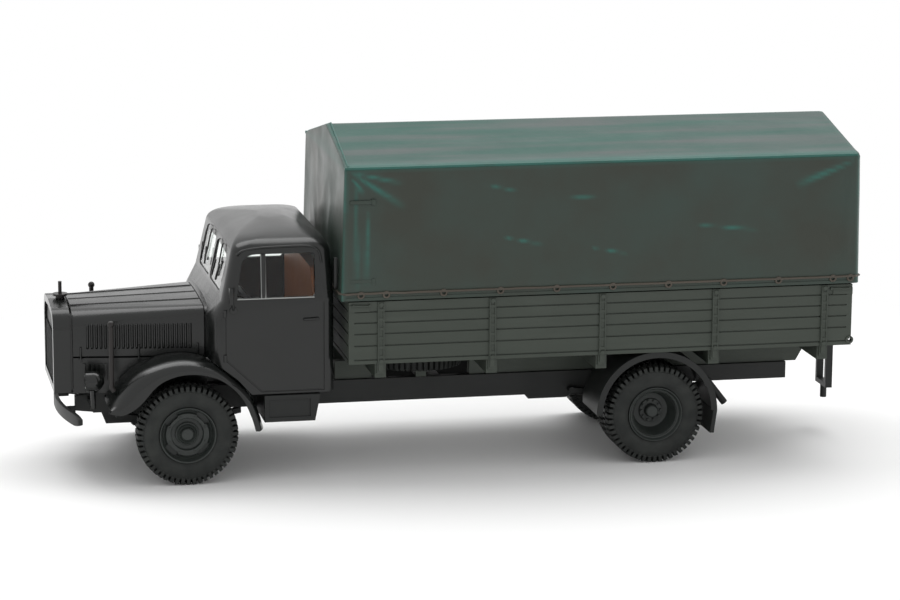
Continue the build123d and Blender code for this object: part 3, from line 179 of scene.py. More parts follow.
def tarp_paint():
    """Dark green-grey paint that is rubbed through to teal along folds, edges and the roof; the roof is partly
    painted light, lighter than the sides with pale streaks of painted sheen.
    """
    nodes = Paint("tarp_paint")
    cloud = nodes.ramp(nodes.noise(9.0, detail=4.0), 0.35, 0.65)
    side = nodes.mix(cloud, linear(54, 58, 51), linear(54, 66, 60))
    # Roof colour: teal of the plastic, made lighter than the sides as painted light from above, with pale
    # flow-mark streaks partly painted as sheen
    flow_marks_and_sheen = nodes.ramp(nodes.noise(2.2, stretch=(10, 1, 1), detail=5.0), 0.36, 0.66)
    roof = nodes.mix(flow_marks_and_sheen, linear(30, 78, 68), linear(74, 84, 82))
    # The roof attribute puts this lighter, partly painted-light colour on the top only
    base = nodes.mix(nodes.attribute("roof"), side, roof)
    patches = nodes.ramp(nodes.noise(1.1, stretch=(3, 1, 1), detail=6.0), 0.05, 0.5)
    rub = nodes.maths("MULTIPLY", nodes.attribute("rub"), patches)
    return nodes.finish(nodes.mix(rub, base, linear(48, 100, 91)), 0.38, 0.07, 0.05,
                        [(nodes.noise(0.14), 0.006), (nodes.noise(1.4), 0.02)], Specular_IOR_Level=0.27)


def clear_plastic():
    """Clear moulding with faint flow marks."""
    nodes = Paint("clear_plastic")
    tint = nodes.ramp(nodes.noise(2.5, detail=4.0), 0.3, 0.7)
    return nodes.finish(nodes.mix(tint, linear(236, 240, 238), linear(248, 250, 249)), 0.02, 0.01, 0,
                        [(nodes.noise(4.0), 0.001)], Transmission_Weight=1.0, IOR=1.25)


materials = {
    "body_plastic": plastic("body_plastic", linear(16, 18, 17), linear(28, 30, 29), 0.22, specular=0.44),
    "chassis_plastic": plastic("chassis_plastic", linear(24, 26, 25), linear(36, 38, 36), 0.48),
    "bed_plastic": plastic("bed_plastic", linear(58, 64, 57), linear(74, 80, 73), 0.5, edge_mm=0.05),
    "tarp_plastic": tarp_paint(),
    "seat_plastic": plastic("seat_plastic", linear(168, 98, 52), linear(196, 134, 88), 0.45),
    "clear_plastic": clear_plastic(),
    "tyre": rubber("tyre_rubber"),
    "rim_plastic": plastic("rim_plastic", linear(42, 46, 44), linear(62, 67, 64), 0.36, edge_mm=0.04),
    "trim_plastic": plastic("trim_plastic", linear(30, 27, 26), linear(44, 37, 33), 0.35, edge_mm=0.04),
}
rope_paint = plastic("rope_paint", linear(74, 68, 60), linear(104, 98, 88), 0.5, edge_mm=0.0)
# Painted highlight: a pale, part-metal colour for the thin raised lines along the window edges
edge_highlight_paint = plastic("painted_edge_highlight", linear(150, 152, 150), linear(176, 178, 175), 0.4, edge_mm=0.0, metal=0.6)


def dress_cad_nodes():
    """Give every CAD node the material of its slot in the record."""
    for row in frame["record"]["subparts"]:
        slots = frame["nodes"][row["node"]].data.materials
        slots.clear()
        slots.append(materials[row["material_slot"]])


# Shapes

def spun(section, centre, angle, flip=1):
    """Section of (outwards, radius) points at an angle about an axis along Y."""
    cx, cy, cz = centre
    return [(cx + r * math.cos(angle), cy + flip * w, cz + r * math.sin(angle)) for w, r in section]


class Shape:
    """Closed faces of one piece, gathered in millimetres."""

    def __init__(self):
        self.verts = []
        self.faces = []

    def add(self, verts, faces):
        base = len(self.verts)
        self.verts += [tuple(v) for v in verts]
        self.faces += [[base + i for i in face] for face in faces]

    def skin(self, rings, closed=False):
        """Skin through rings of equally many points, capped unless it closes on itself."""
        count = len(rings[0])
        spans = len(rings) if closed else len(rings) - 1
        faces = []
        for i in range(spans):
            a, b = i * count, (i + 1) % len(rings) * count
            faces += [[a + j, a + (j + 1) % count, b + (j + 1) % count, b + j] for j in range(count)]
        if not closed:
            last = (len(rings) - 1) * count
            faces += [list(range(count))[::-1], [last + j for j in range(count)]]
        self.add([point for ring in rings for point in ring], faces)

    def box(self, low, high):
        (x0, y0, z0), (x1, y1, z1) = low, high
        ring = [(x0, y0), (x1, y0), (x1, y1), (x0, y1)]
        self.skin([[(x, y, z) for x, y in ring] for z in (z0, z1)])

    def plate(self, outline, y0, y1):
        """Outline of (x, z) points, from y0 to y1."""
        self.skin([[(x, y, z) for x, z in outline] for y in (y0, y1)])

    def slab(self, outline, x0, x1):
        """Outline of (y, z) points, from x0 to x1."""
        self.skin([[(x, y, z) for y, z in outline] for x in (x0, x1)])

    def lathe(self, section, centre, steps, flip=1):
        """Closed section turned about an axis along Y."""
        self.skin([spun(section, centre, TURN * i / steps, flip) for i in range(steps)], closed=True)

    def tube(self, points, radius, sides=10, closed=False):
        """Round bar along a line of points."""
        points = [Vector(p) for p in points]
        rings = []
        side = None
        for i, point in enumerate(points):
            after = points[(i + 1) % len(points)] if closed or i + 1 < len(points) else point
            before = points[i - 1] if closed or i else point
            along = (after - before).normalized()
            if side is None:
                side = along.orthogonal().normalized()
            side = (side - along * side.dot(along)).normalized()
            up = along.cross(side)
            rings.append([point + radius * (math.cos(TURN * k / sides) * side
                                            + math.sin(TURN * k / sides) * up) for k in range(sides)])
        self.skin(rings, closed=closed)

    def mirror(self):
        """Add the same faces on the passenger's side."""
        count = len(self.verts)
        self.verts += [(x, -y, z) for x, y, z in self.verts]
        self.faces += [[count + i for i in face[::-1]] for face in list(self.faces)]

    def take(self, piece):
        """Take over the mesh of a raw piece and remove the piece."""
        self.add([v.co for v in piece.data.vertices], [list(f.vertices) for f in piece.data.polygons])
        bpy.data.objects.remove(piece)


def new_object(name, data):
    thing = bpy.data.objects.new(name, data)
    bpy.context.scene.collection.objects.link(thing)
    return thing


def raw_piece(name, shape):
    """Object in millimetres, its faces turned outwards."""
    mesh = bpy.data.meshes.new(name)
    mesh.from_pydata(shape.verts, [], shape.faces)
    solid = bmesh.new()
    solid.from_mesh(mesh)
    bmesh.ops.recalc_face_normals(solid, faces=solid.faces)
    solid.to_mesh(mesh)
    solid.free()
    return new_object(name, mesh)


def apply_modifiers(piece):
    """Keep the modified mesh and drop the modifiers."""
    graph = bpy.context.evaluated_depsgraph_get()
    shaped = bpy.data.meshes.new_from_object(piece.evaluated_get(graph))
    piece.modifiers.clear()
    piece.data = shaped


def thicken(piece, thickness):
    """Give an open sheet a wall on its inner side."""
    wall = piece.modifiers.new("wall", "SOLIDIFY")
    wall.thickness = thickness
    wall.offset = -1
    apply_modifiers(piece)


def cut_away(piece, cutter):
    """Cut a shape out of a raw piece."""
    tool = raw_piece("cutter", cutter)
    cut = piece.modifiers.new("cut", "BOOLEAN")
    cut.operation = "DIFFERENCE"
    cut.solver = "EXACT"
    cut.object = tool
    apply_modifiers(piece)
    bpy.data.objects.remove(tool)


def store(piece, name, values):
    """Keep one number for each vertex, for a material to read."""
    piece.data.attributes.new(name, "FLOAT", "POINT").data.foreach_set("value", values)


def finish_piece(piece, slot, body="truck", replaces=(), material=None, crease=40):
    """Bring a raw piece to metres and give it its shading, material and body."""
    piece.data.transform(Matrix.Scale(MM, 4))
    piece.data.shade_smooth()
    piece.data.set_sharp_from_angle(angle=math.radians(crease))
    piece.data.materials.append(material or materials[slot])
    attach(piece, body)
    if replaces:
        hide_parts(*replaces)
    return piece


def make_piece(name, shape, slot, bevel=0.0, crease=40, **rest):
    """One object from a shape, with rounded edges where a bevel is given."""
    piece = raw_piece(name, shape)
    if bevel:
        rounding = piece.modifiers.new("rounding", "BEVEL")
        rounding.width = bevel
        rounding.segments = 2
        rounding.limit_method = "ANGLE"
        rounding.angle_limit = math.radians(crease)
        apply_modifiers(piece)
    return finish_piece(piece, slot, crease=crease, **rest)


# Tyres: a smooth carcass and two rows of lugs that wrap over the shoulders

half_tyre = (front_tyre_high.y - front_tyre_low.y) / 2
tyre_bore = 3.06
lug_pairs = 52
lug_floor = 5.08
lug_shoulder = 4.93
lug_width_share = 0.6
# Half section of the carcass: share of half the width, radius
carcass = [(0.0, lug_floor), (0.55, lug_floor), (0.86, 5.0), (0.97, 4.72), (1.0, 4.3), (0.985, 3.9),
           (0.93, 3.55), (0.86, 3.34), (0.84, 3.2), (0.74, tyre_bore)]
# Half section of one lug: share of half the width, radius
lug_outline = [(0.06, lug_floor - 0.1), (0.06, tyre_radius), (0.80, tyre_radius - 0.03),
               (0.95, tyre_radius - 0.13), (1.0, lug_shoulder), (0.9, lug_shoulder - 0.15)]


def tyre_shape(shape, centre):
    """Carcass and lugs about an axle along Y."""
    outer = [(half_tyre * w, r) for w, r in carcass]
    shape.lathe(outer + [(-w, r) for w, r in reversed(outer[1:])], centre, 2 * lug_pairs)
    lug = [(half_tyre * w, r) for w, r in lug_outline]
    half_angle = lug_width_share * TURN / lug_pairs / 2
    for i in range(2 * lug_pairs):
        middle = TURN * i / (2 * lug_pairs)
        shape.skin([spun(lug, centre, angle, 1 if i % 2 else -1)
                    for angle in (middle - half_angle, middle + half_angle)])


# Rims: distances along the axle are counted outwards from the tyre's middle

outer_y = rear_tyre_low.y + half_tyre
inner_y = rear_tyre_high.y - half_tyre
rim_edge = half_tyre - 0.12
far_edge = -rim_edge - abs(outer_y - inner_y)
front_face = half_tyre - 0.62
dish_floor = rim_edge - 2.35
pin_bore = 0.54
rim_steps = 72


def front_rim_section(edge, face, bore):
    """Front rim: a thin edge, a plateau, a deep recess and a stepped hub; (distance, radius)."""
    return [
        (-edge, 2.82), (-edge, 3.04), (edge - 0.02, 3.04), (edge + 0.06, 3.12), (edge + 0.08, 3.04),
        (edge, 2.94), (face - 0.12, 2.84), (face - 0.3, 2.72), (face - 0.22, 2.52), (face, 2.36),
        (face + 0.02, 1.92), (face - 0.06, 1.8), (face - 0.5, 1.72), (face - 0.55, 1.3),
        (face - 0.3, 1.27), (face - 0.26, 1.2), (face - 0.3, 1.12), (face - 0.1, 1.0),
        (face - 0.02, 0.93), (face - 0.12, 0.84), (face - 0.2, 0.72), (face + 0.08, 0.66),
        (face + 0.16, 0.56), (face + 0.16, 0.02), (face - 0.2, 0.02), (face - 0.2, bore),
        (-edge, bore), (-edge, 1.1), (face - 0.95, 1.1), (face - 0.95, 2.3), (face - 0.75, 2.6),
    ]


def about(centre, radius, angle):
    """Point (x, z) at a radius and an angle about an axle."""
    return centre[0] + radius * math.cos(angle), centre[-1] + radius * math.sin(angle)


def kidney(centre, angle, radius, half_span, half_width):
    """Outline of a slot: an arc about the axle with round ends."""
    end_share = 0.8
    outline = []
    for way in (1, -1):
        outline += [about(centre, radius + way * half_width, angle + way * share * half_span)
                    for share in (-1, -0.5, 0, 0.5, 1)]
        outline.append(about(centre, radius, angle + way * (half_span + half_width / radius * end_share)))
    return outline


def nuts(shape, centre, side, count, ring, radius, low, high, first=0.0):
    """Hexagon nuts in a ring; first shifts them by a share of their spacing."""
    for k in range(count):
        angle = TURN * (k + first) / count
        place = about(centre, ring, angle)
        shape.plate([about(place, radius, angle + TURN * j / 6) for j in range(6)],
                    centre[1] + side * low, centre[1] + side * high)


def front_rim_shape(centre, side):
    """Front rim, its four slots cut and its nuts added."""
    turned, slots, shape = Shape(), Shape(), Shape()
    turned.lathe(front_rim_section(rim_edge, front_face, pin_bore), centre, rim_steps, flip=side)
    for quarter in range(4):
        slots.plate(kidney(centre, math.radians(45 + 90 * quarter), 2.5, math.radians(15), 0.3),
                    centre[1] + side * (front_face - 0.5), centre[1] + side * (front_face + 0.4))
    piece = raw_piece("rim", turned)
    cut_away(piece, slots)
    shape.take(piece)
    nuts(shape, centre, side, 8, 2.1, 0.13, front_face - 0.05, front_face + 0.11, first=0.5)
    return shape


def rear_rim_section(edge, far_edge, floor, bore):
    """Deep dish of the outer rear rim and the drum of the inner one; (distance, radius)."""
    return [
        (far_edge, 2.8), (far_edge, 3.04), (edge - 0.02, 3.04), (edge + 0.06, 3.1), (edge + 0.06, 3.0),
        (edge - 0.06, 2.9), (edge - 0.3, 2.8), (edge - 0.34, 2.66), (edge - 0.28, 2.58),
        (edge - 0.4, 2.48), (edge - 1.2, 2.36), (floor + 0.35, 2.12), (floor + 0.05, 1.98),
        (floor, 1.8), (floor + 0.02, 1.36), (floor + 0.22, 1.3), (floor + 0.25, 0.78),
        (floor + 0.9, 0.7), (floor + 1.0, 0.58), (floor + 1.0, 0.02), (floor + 0.55, 0.02),
        (floor + 0.55, bore), (far_edge, bore), (far_edge, 1.0), (floor - 0.4, 1.0), (floor - 0.4, 2.6),
    ]


def rear_rim_shape(centre, side):
    shape = Shape()
    shape.lathe(rear_rim_section(rim_edge, far_edge, dish_floor, pin_bore), centre, rim_steps, flip=side)
    nuts(shape, centre, side, 10, 1.12, 0.15, dish_floor + 0.2, dish_floor + 0.5)
    return shape


def wheels():
    front_y = (front_tyre_low.y + front_tyre_high.y) / 2
    for side, word in SIDES:
        front = (front_axle_x, -side * front_y, axle_z)
        twins = [(rear_axle_x, -side * y, axle_z) for y in (outer_y, inner_y)]
        for tyre, rim, body, centres, rim_shape in (
                (f"front_tyre_{word}", f"front_rim_{word}", f"front_wheel_{word}", [front], front_rim_shape),
                (f"rear_tyres_{word}", f"rear_rims_{word}", f"rear_wheels_{word}", twins, rear_rim_shape)):
            tyres = Shape()
            for centre in centres:
                tyre_shape(tyres, centre)
            make_piece(f"{tyre}_lugged", tyres, "tyre", crease=30, body=body, replaces=[tyre])
            make_piece(f"{rim}_detailed", rim_shape(centres[0], side), "rim_plastic", crease=25,
                       body=body, replaces=[rim])
    middle = (spare_low + spare_high) / 2
    spare = Shape()
    tyre_shape(spare, middle)
    # Turned so that its axle stands upright
    spare.verts = [(x, middle.y + (z - middle.z), middle.z - (y - middle.y)) for x, y, z in spare.verts]
    make_piece("spare_tyre_lugged", spare, "tyre", crease=30, replaces=["spare_tyre"])


# Cab: smooth plan sections from the sill to the crown of the roof; x is counted from the front axle

cab_wall = 0.5
corner_steps = 9
cab_half, cab_back = 12.0, 16.35
belt_z, belt_nose = 20.2, 3.95
eave_z, eave_nose, eave_half, eave_back = 25.6, 5.15, 11.4, 16.05
cab_crown_z = 27.85
least_radius = 0.2
# Height, front, corner run, flat half, half width, rear and rear radius
cab_levels = [(z, 2.6, 1.7, 8.5, cab_half, cab_back, 1.1) for z in (9.75, 18.3)]
cab_levels += [(belt_z, belt_nose, 1.3, 10.7, cab_half, cab_back, 1.1)]
# Rise, insets at the front, the sides and the rear, radii of the front and rear corners
roof_rows = [
    (-0.35, 0.0, 0.0, 0.0, 1.3, 1.1), (0.0, 0.0, 0.0, 0.0, 1.3, 1.1),
    (0.31, 0.35, 0.4, 0.3, 1.6, 1.3), (0.56, 1.0, 1.4, 0.8, 2.2, 1.8),
    (0.75, 2.1, 3.5, 1.7, 2.8, 2.3), (0.91, 3.6, 6.7, 3.0, 2.0, 2.0),
    (1.0, 4.5, 9.3, 4.0, 0.9, 0.9), (1.0, 5.6, 12.0, 5.0, 0.4, 0.4),
]


def through(rows, steps):
    """Smooth rows through the given ones; the first and the last only steer."""
    smooth = []
    for four in zip(rows, rows[1:], rows[2:], rows[3:]):
        for k in range(steps):
            t = k / steps
            smooth.append([(2 * b + (c - a) * t + (2 * a - 5 * b + 4 * c - d) * t * t
                            + (3 * b - a - 3 * c + d) * t ** 3) / 2 for a, b, c, d in zip(*four)])
    smooth.append(list(rows[-2]))
    return smooth


def with_ends(points):
    """A line of points with one more at each end, to steer a smooth curve."""
    first = [2 * a - b for a, b in zip(points[0], points[1])]
    last = [2 * a - b for a, b in zip(points[-1], points[-2])]
    return [first] + [list(p) for p in points] + [last]


def cab_ring(level, inset):
    """Plan of the cab at one height, smaller all round by an inset."""
    z, nose, run, flat, half, back, radius = level
    angles = [TURN / 4 * k / corner_steps for k in range(corner_steps + 1)]
    points = [(nose + run - math.cos(a) * (run - inset), flat + math.sin(a) * (half - inset - flat))
              for a in angles]
    points += [(back - radius + math.sin(a) * (radius - inset), half - radius + math.cos(a) * (radius - inset))
               for a in angles]
    points += [(x, -y) for x, y in reversed(points)]
    return [(front_axle_x + x, y, z) for x, y in points]


def cab_rings(inset, past):
    """Rings of the cab from below the sill to the crown."""
    rings = [cab_ring((cab_levels[0][0] - past,) + cab_levels[0][1:], inset)]
    rings += [cab_ring(level, inset) for level in cab_levels[1:]]
    for rise, front, side, rear, *radii in through(roof_rows, 4):
        front_radius, rear_radius = [max(radius, inset + least_radius) for radius in radii]
        z = eave_z + rise * (cab_crown_z - inset - eave_z)
        width = eave_half - side
        rings.append(cab_ring((z, eave_nose + front, front_radius, width - front_radius, width,
                               eave_back - rear, rear_radius), inset))
    return rings


def round_corners(points, radii, steps=6):
    """Outline with each corner rounded by its radius."""
    outline = []
    count = len(points)
    for i, radius in enumerate(radii):
        corner = Vector(points[i])
        before = (Vector(points[i - 1]) - corner).normalized() * radius
        after = (Vector(points[(i + 1) % count]) - corner).normalized() * radius
        for k in range(steps + 1):
            t = k / steps
            outline.append(tuple(corner + before * (1 - t) ** 2 + after * t * t))
    return outline


def from_axle(points):
    """Points whose x is counted from the front axle, brought to the frame."""
    return [(front_axle_x + point[0], *point[1:]) for point in points]


def windscreen(side, inset=0.0):
    """Half of the windscreen's outline, drawn in by an inset."""
    near, far, low = 0.3 + inset, 8.6 - inset, 20.75 + inset
    corners = [(near, low), (far, low), (far, 24.8 - inset), (near, 25.2 - inset)]
    return round_corners([(side * y, z) for y, z in corners], [0.9] * 4)


glass_low, glass_high = 20.5, 25.3
side_window = round_corners(from_axle([(5.55, glass_low), (14.2, glass_low), (14.2, glass_high),
                                       (6.3, glass_high)]), [0.45, 0.45, 0.45, 1.5])
rear_window = round_corners([(-3.2, 21.3), (3.2, 21.3), (3.2, 24.3), (-3.2, 24.3)], [0.45] * 4)
door_seam = from_axle([(4.23, 19.9), (4.23, 13.72), (8.21, 10.0), (15.2, 10.0), (15.2, 19.9), (15.06, 19.9),
                       (15.06, 10.14), (8.28, 10.14), (4.37, 13.79), (4.37, 19.9)])
# Crown of a front mudguard and the lip of its wheel arch
crown_line = [(-8.63, 9.03), (-7.98, 9.88), (-6.39, 11.88), (-4.36, 13.17), (-1.6, 13.95), (0.9, 13.95),
              (3.28, 13.15), (5.52, 11.38), (7.25, 9.45), (7.99, 7.56), (8.45, 6.03)]
arch_line = [(-8.6, 8.5), (-7.1, 8.25), (-5.3, 9.25), (-3.4, 11.3), (-1.7, 12.2), (0.3, 12.5),
             (2.4, 12.2), (4.25, 11.3), (5.99, 9.5), (6.95, 7.4), (7.4, 5.85)]


# Bonnet sections at the radiator and at the cowl: half width, ridge, bottom, hinge line, drop to it,
# run of the shoulder and drop to the upright side
bonnet_sections = [(5.9, 18.75, 13.45, 3.0, 0.2, 2.4, 2.0), (7.7, 19.12, 13.45, 3.7, 0.18, 1.7, 1.0)]
bonnet_rear_x = front_axle_x + 2.5
bonnet_wall = 0.45
shoulder_steps = 10
louvre_places = [-10.36 + 0.485 * i for i in range(24)]
# Height on a louvre and how far it stands out there
louvre_rows = [(14.3, 0.02), (14.45, 0.2), (16.95, 0.2), (17.1, 0.02)]


def bonnet_outline(share, inset=0.0, deeper=0.0):
    """End view of the bonnet between the radiator (0) and the cowl (1), drawn in by an inset."""
    half, ridge, low, hinge, top_drop, run, side_drop = [
        p + share * (q - p) for p, q in zip(*bonnet_sections)]
    right = [(half - inset, low - deeper)]
    for k in range(shoulder_steps + 1):
        a = TURN / 4 * k / shoulder_steps
        right.append((half - run + (run - inset) * math.cos(a),
                      ridge - side_drop + (side_drop - top_drop - inset) * math.sin(a)))
    right.append((hinge, ridge - 0.08 - inset))
    return right + [(0, ridge - inset)] + [(-y, z) for y, z in reversed(right)]


def bonnet_half_at(x):
    """Half width of the bonnet at x from the front axle."""
    share = min(1.0, max(0.0, (front_axle_x + x - bonnet_low.x) / (bonnet_rear_x - bonnet_low.x)))
    near, far = [section[0] for section in bonnet_sections]
    return near + share * (far - near)


def bonnet():
    """Bonnet with its louvres, and the plain walls that close it behind the radiator and at the cowl."""
    outside, inside, shape = Shape(), Shape(), Shape()
    for skin, past, inset in ((outside, 0, (0.0, 0.0)), (inside, 1, (bonnet_wall, 2))):
        skin.skin([[(x, y, z) for y, z in bonnet_outline(share, *inset)]
                   for x, share in ((bonnet_low.x - past, 0), (bonnet_rear_x + past, 1))])
    piece = raw_piece("bonnet", outside)
    cut_away(piece, inside)
    shape.take(piece)
    for side in (LEFT, RIGHT):
        for x in louvre_places:
            shape.skin([from_axle([(x + step, side * (bonnet_half_at(x + step) + rise), z) for step, rise in
                                   ((0.0, -0.05), (0.06, proud), (0.2, proud * 0.9), (0.34, -0.05))])
                        for z, proud in louvre_rows])
    for x0, x1, half, low, high in ((bonnet_low.x - 0.35, bonnet_low.x + 0.1, 5.5, 9.6, 18.0),
                                    (bonnet_high.x + 0.02, bonnet_rear_x + 0.3, 7.6, 9.8, 13.4)):
        shape.box((x0, -half, low), (x1, half, high))
    make_piece("bonnet_louvred", shape, "body_plastic", crease=25, replaces=["bonnet"])


def crown_normals(points):
    """Direction into the mudguard at each point of its crown."""
    normals = []
    for i in range(len(points)):
        before, after = points[max(i - 1, 0)], points[min(i + 1, len(points) - 1)]
        run = Vector((after[0] - before[0], after[1] - before[1])).normalized()
        normals.append(Vector((run.y, -run.x)))
    return normals


def cab():
    """Hollow cab with its openings, door seams and the collar behind the bonnet."""
    past_side = 14
    outside, inside, sides, ends, wheel_room, seams, shape = [Shape() for _ in range(7)]
    outside.skin(cab_rings(0, 0))
    inside.skin(cab_rings(cab_wall, 2))
    sides.plate(side_window, -past_side, past_side)
    for side in (LEFT, RIGHT):
        ends.slab(windscreen(side), front_axle_x + 1.6, front_axle_x + 8.6)
        seams.plate(door_seam, side * (cab_half - 0.12), side * (cab_half + 0.5))
    ends.slab(rear_window, front_axle_x + 15.3, front_axle_x + 17.3)
    crown = [tuple(Vector(p) - 0.12 * n) for p, n in zip(crown_line, crown_normals(crown_line))]
    wheel_room.plate(from_axle(crown + [(8.6, 5.0), (-8.7, 5.0)]), -past_side, past_side)
    piece = raw_piece("cab", outside)
    for cutter in (inside, sides, ends, wheel_room, seams):
        cut_away(piece, cutter)
    shape.take(piece)
    shape.slab(bonnet_outline(1, -0.02), bonnet_rear_x + 0.08, front_axle_x + 4.3)
    make_piece("cab_shell_smooth", shape, "body_plastic", crease=32, replaces=["cab_shell"])


def upper_share(z):
    """Place of a height between the cab's belt (0) and its eaves (1)."""
    return (z - belt_z) / (eave_z - belt_z)


def side_y(z):
    """Half width of the cab's side at a height."""
    return cab_half - (cab_half - eave_half) * min(1.0, max(0.0, upper_share(z)))


roof_moulding = [(5.6, 25.3), (6.3, 25.72), (7.83, 25.94), (10.07, 26.03), (13.0, 26.05), (14.2, 25.85),
                 (14.75, 25.3), (14.95, 24.2)]
hinge_heights = (13.95, 18.95)
wiper_places = (-3.0, -6.0)
handle_z = 18.0
sill_z = 20.46


def cab_trims():
    """Roof moulding, door hinges and handle, wipers, window bars, and thin lines along the glass's edges whose
    pale colour is painted highlight.
    """
    dark, bright = Shape(), Shape()
    dark.tube(from_axle([(x, -side_y(z) + 0.35 * max(0.0, z - 25.55) - 0.02, z)
                         for x, z in through(with_ends(roof_moulding), 5)]), 0.13)
    for z in hinge_heights:
        dark.tube(from_axle([(4.22, -cab_half - 0.08, z + end) for end in (-0.38, 0.38)]), 0.2)
    dark.tube(from_axle([(12.9, -cab_half - 0.22, handle_z), (14.6, -cab_half - 0.22, handle_z + 0.04)]), 0.14)
    dark.tube(from_axle([(14.45, -cab_half + end, handle_z + 0.02) for end in (0.05, -0.3)]), 0.18)
    for y in wiper_places:
        dark.tube(from_axle([(5.05, y, eave_z), (4.85, y, eave_z - 0.1), (4.15, y - 0.4, eave_z - 3.3)]),
                  0.09, sides=6)
        dark.tube(from_axle([(4.35, y - 0.9, eave_z - 2.2), (4.0, y - 0.1, eave_z - 4.0)]), 0.12, sides=6)
    dark.box(*from_axle([(8.3, -11.98, glass_low - 0.05), (8.72, -11.55, glass_high + 0.05)]))
    # Painted highlight: the sill line and both edges of the window bar get the pale, part-metal colour
    bright.tube(from_axle([(x, -side_y(sill_z) - 0.02, sill_z) for x in (5.6, 14.1)]), 0.07, sides=6)
    for x in (8.28, 8.74):
        bright.tube(from_axle([(x, -side_y(z), z) for z in (glass_low, glass_high)]), 0.06, sides=6)
    dark.mirror()
    bright.mirror()
    make_piece("cab_trims", dark, "body_plastic")
    make_piece("window_edge_highlights", bright, "trim_plastic", material=edge_highlight_paint)


def panes():
    """Clear panes just inside the cab's openings."""
    shape = Shape()
    depths = (0.12, 0.38)

    def upright(outline, low_x, high_x, way):
        """Pane across the cab that leans as its wall does."""
        shape.skin([[(front_axle_x + low_x + (high_x - low_x) * upper_share(z) + way * depth, y, z)
                     for y, z in outline] for depth in depths])
    for side in (LEFT, RIGHT):
        upright(windscreen(side, 0.03), belt_nose, eave_nose, 1)
        shape.skin([[(x, side * (side_y(z) - depth), z) for x, z in side_window] for depth in depths])
    upright(rear_window, cab_back, eave_back, -1)
    make_piece("cab_panes", shape, "clear_plastic", crease=30, replaces=["cab_glazing"])


def mirrors():
    """Round foot on the door pillar, a leaning arm and an upright head."""
    x, foot_z = front_axle_x + 5.15, 19.3
    for side, word in SIDES:
        head_y = side * 12.75
        shape = Shape()
        shape.tube([(x, side * 11.9, foot_z), (x, side * 12.3, foot_z)], 0.42, sides=20)
        shape.tube([(x, side * 12.2, foot_z), (x - 0.1, side * 12.55, 20.0), (x - 0.2, head_y, 20.8)],
                   0.15, sides=8)
        shape.box((x - 0.55, head_y - 0.33, 20.1), (x - 0.1, head_y + 0.33, 21.9))
        make_piece(f"mirror_{word}_whole", shape, "body_plastic", bevel=0.06, crease=35,
                   replaces=[f"mirror_{word}"])


# Front mudguards: a rolled crown that turns down to the lip of the wheel arch

# Share of the way out from the bonnet and the drop below the crown there
fender_roll = [(0.0, 0.25), (0.25, 0.09), (0.5, 0.0), (0.68, 0.06), (0.8, 0.24), (0.88, 0.48), (0.94, 0.78),
               (0.98, 1.1), (1.0, 1.5)]
fender_skirt_shares = (0.4, 0.8, 1.0)
fender_half = 13.05
fender_gap = 0.27
fender_wall = 0.45
fender_full_depth = 2.3


def fenders():
    crown = through(with_ends(crown_line), 5)
    arch = through(with_ends(arch_line), 5)
    verts = []
    for (cx, cz), (ax, az), normal in zip(crown, arch, crown_normals(crown)):
        depth = min(1.0, (Vector((cx, cz)) - Vector((ax, az))).length / fender_full_depth)
        inner = bonnet_half_at(cx) + fender_gap
        for share, drop in fender_roll:
            verts.append((front_axle_x + cx + normal.x * drop * depth, -(inner + share * (fender_half - inner)),
                          cz + normal.y * drop * depth))
        x, _, z = verts[-1]
        verts += [(x + share * (front_axle_x + ax - x), 0.05 * share - fender_half, z + share * (az - z))
                  for share in fender_skirt_shares]
    count = len(fender_roll) + len(fender_skirt_shares)
    faces = [[i * count + j, (i + 1) * count + j, (i + 1) * count + j + 1, i * count + j + 1]
             for i in range(len(crown) - 1) for j in range(count - 1)]
    for side, word in SIDES:
        mesh = bpy.data.meshes.new("fender")
        mesh.from_pydata([(x, -side * y, z) for x, y, z in verts], [], faces)
        top = mesh.polygons[(len(crown) // 2) * (count - 1) + 2]
        if top.normal.z < 0:
            mesh.flip_normals()
        piece = new_object("fender", mesh)
        thicken(piece, fender_wall)
        shape = Shape()
        shape.take(piece)
        make_piece(f"front_fender_{word}_smooth", shape, "body_plastic",
                   replaces=[f"front_fender_{word}"])


# Places of the bonnet's catches from the front axle, with the height of each one's top
catches = ((-10.97, 14.5), (-4.65, 14.7), (1.77, 14.85))


def bonnet_trims():
    """Hinge lines on top of the bonnet and the catches at its lower edge."""
    shape = Shape()
    ends = [(x, row[1], row[3]) for x, row in zip((bonnet_low.x + 0.05, bonnet_rear_x - 0.05), bonnet_sections)]
    for side in (LEFT, RIGHT):
        shape.tube([(x, side * hinge, z - 0.1) for x, z, hinge in ends], 0.12, sides=8)
        for place, top in catches:
            x, y = front_axle_x + place, side * (bonnet_half_at(place) + 0.12)
            shape.tube([(x, y, 13.05), (x, y + side * 0.1, 13.6), (x, y, top)], 0.12, sides=8)
            shape.tube([(x, y - side * 0.2, 13.1), (x, y + side * 0.14, 13.1)], 0.24)
    shape.tube([(x, 0, z - 0.03) for x, z, _ in ends], 0.1, sides=8)
    make_piece("bonnet_trims", shape, "body_plastic")


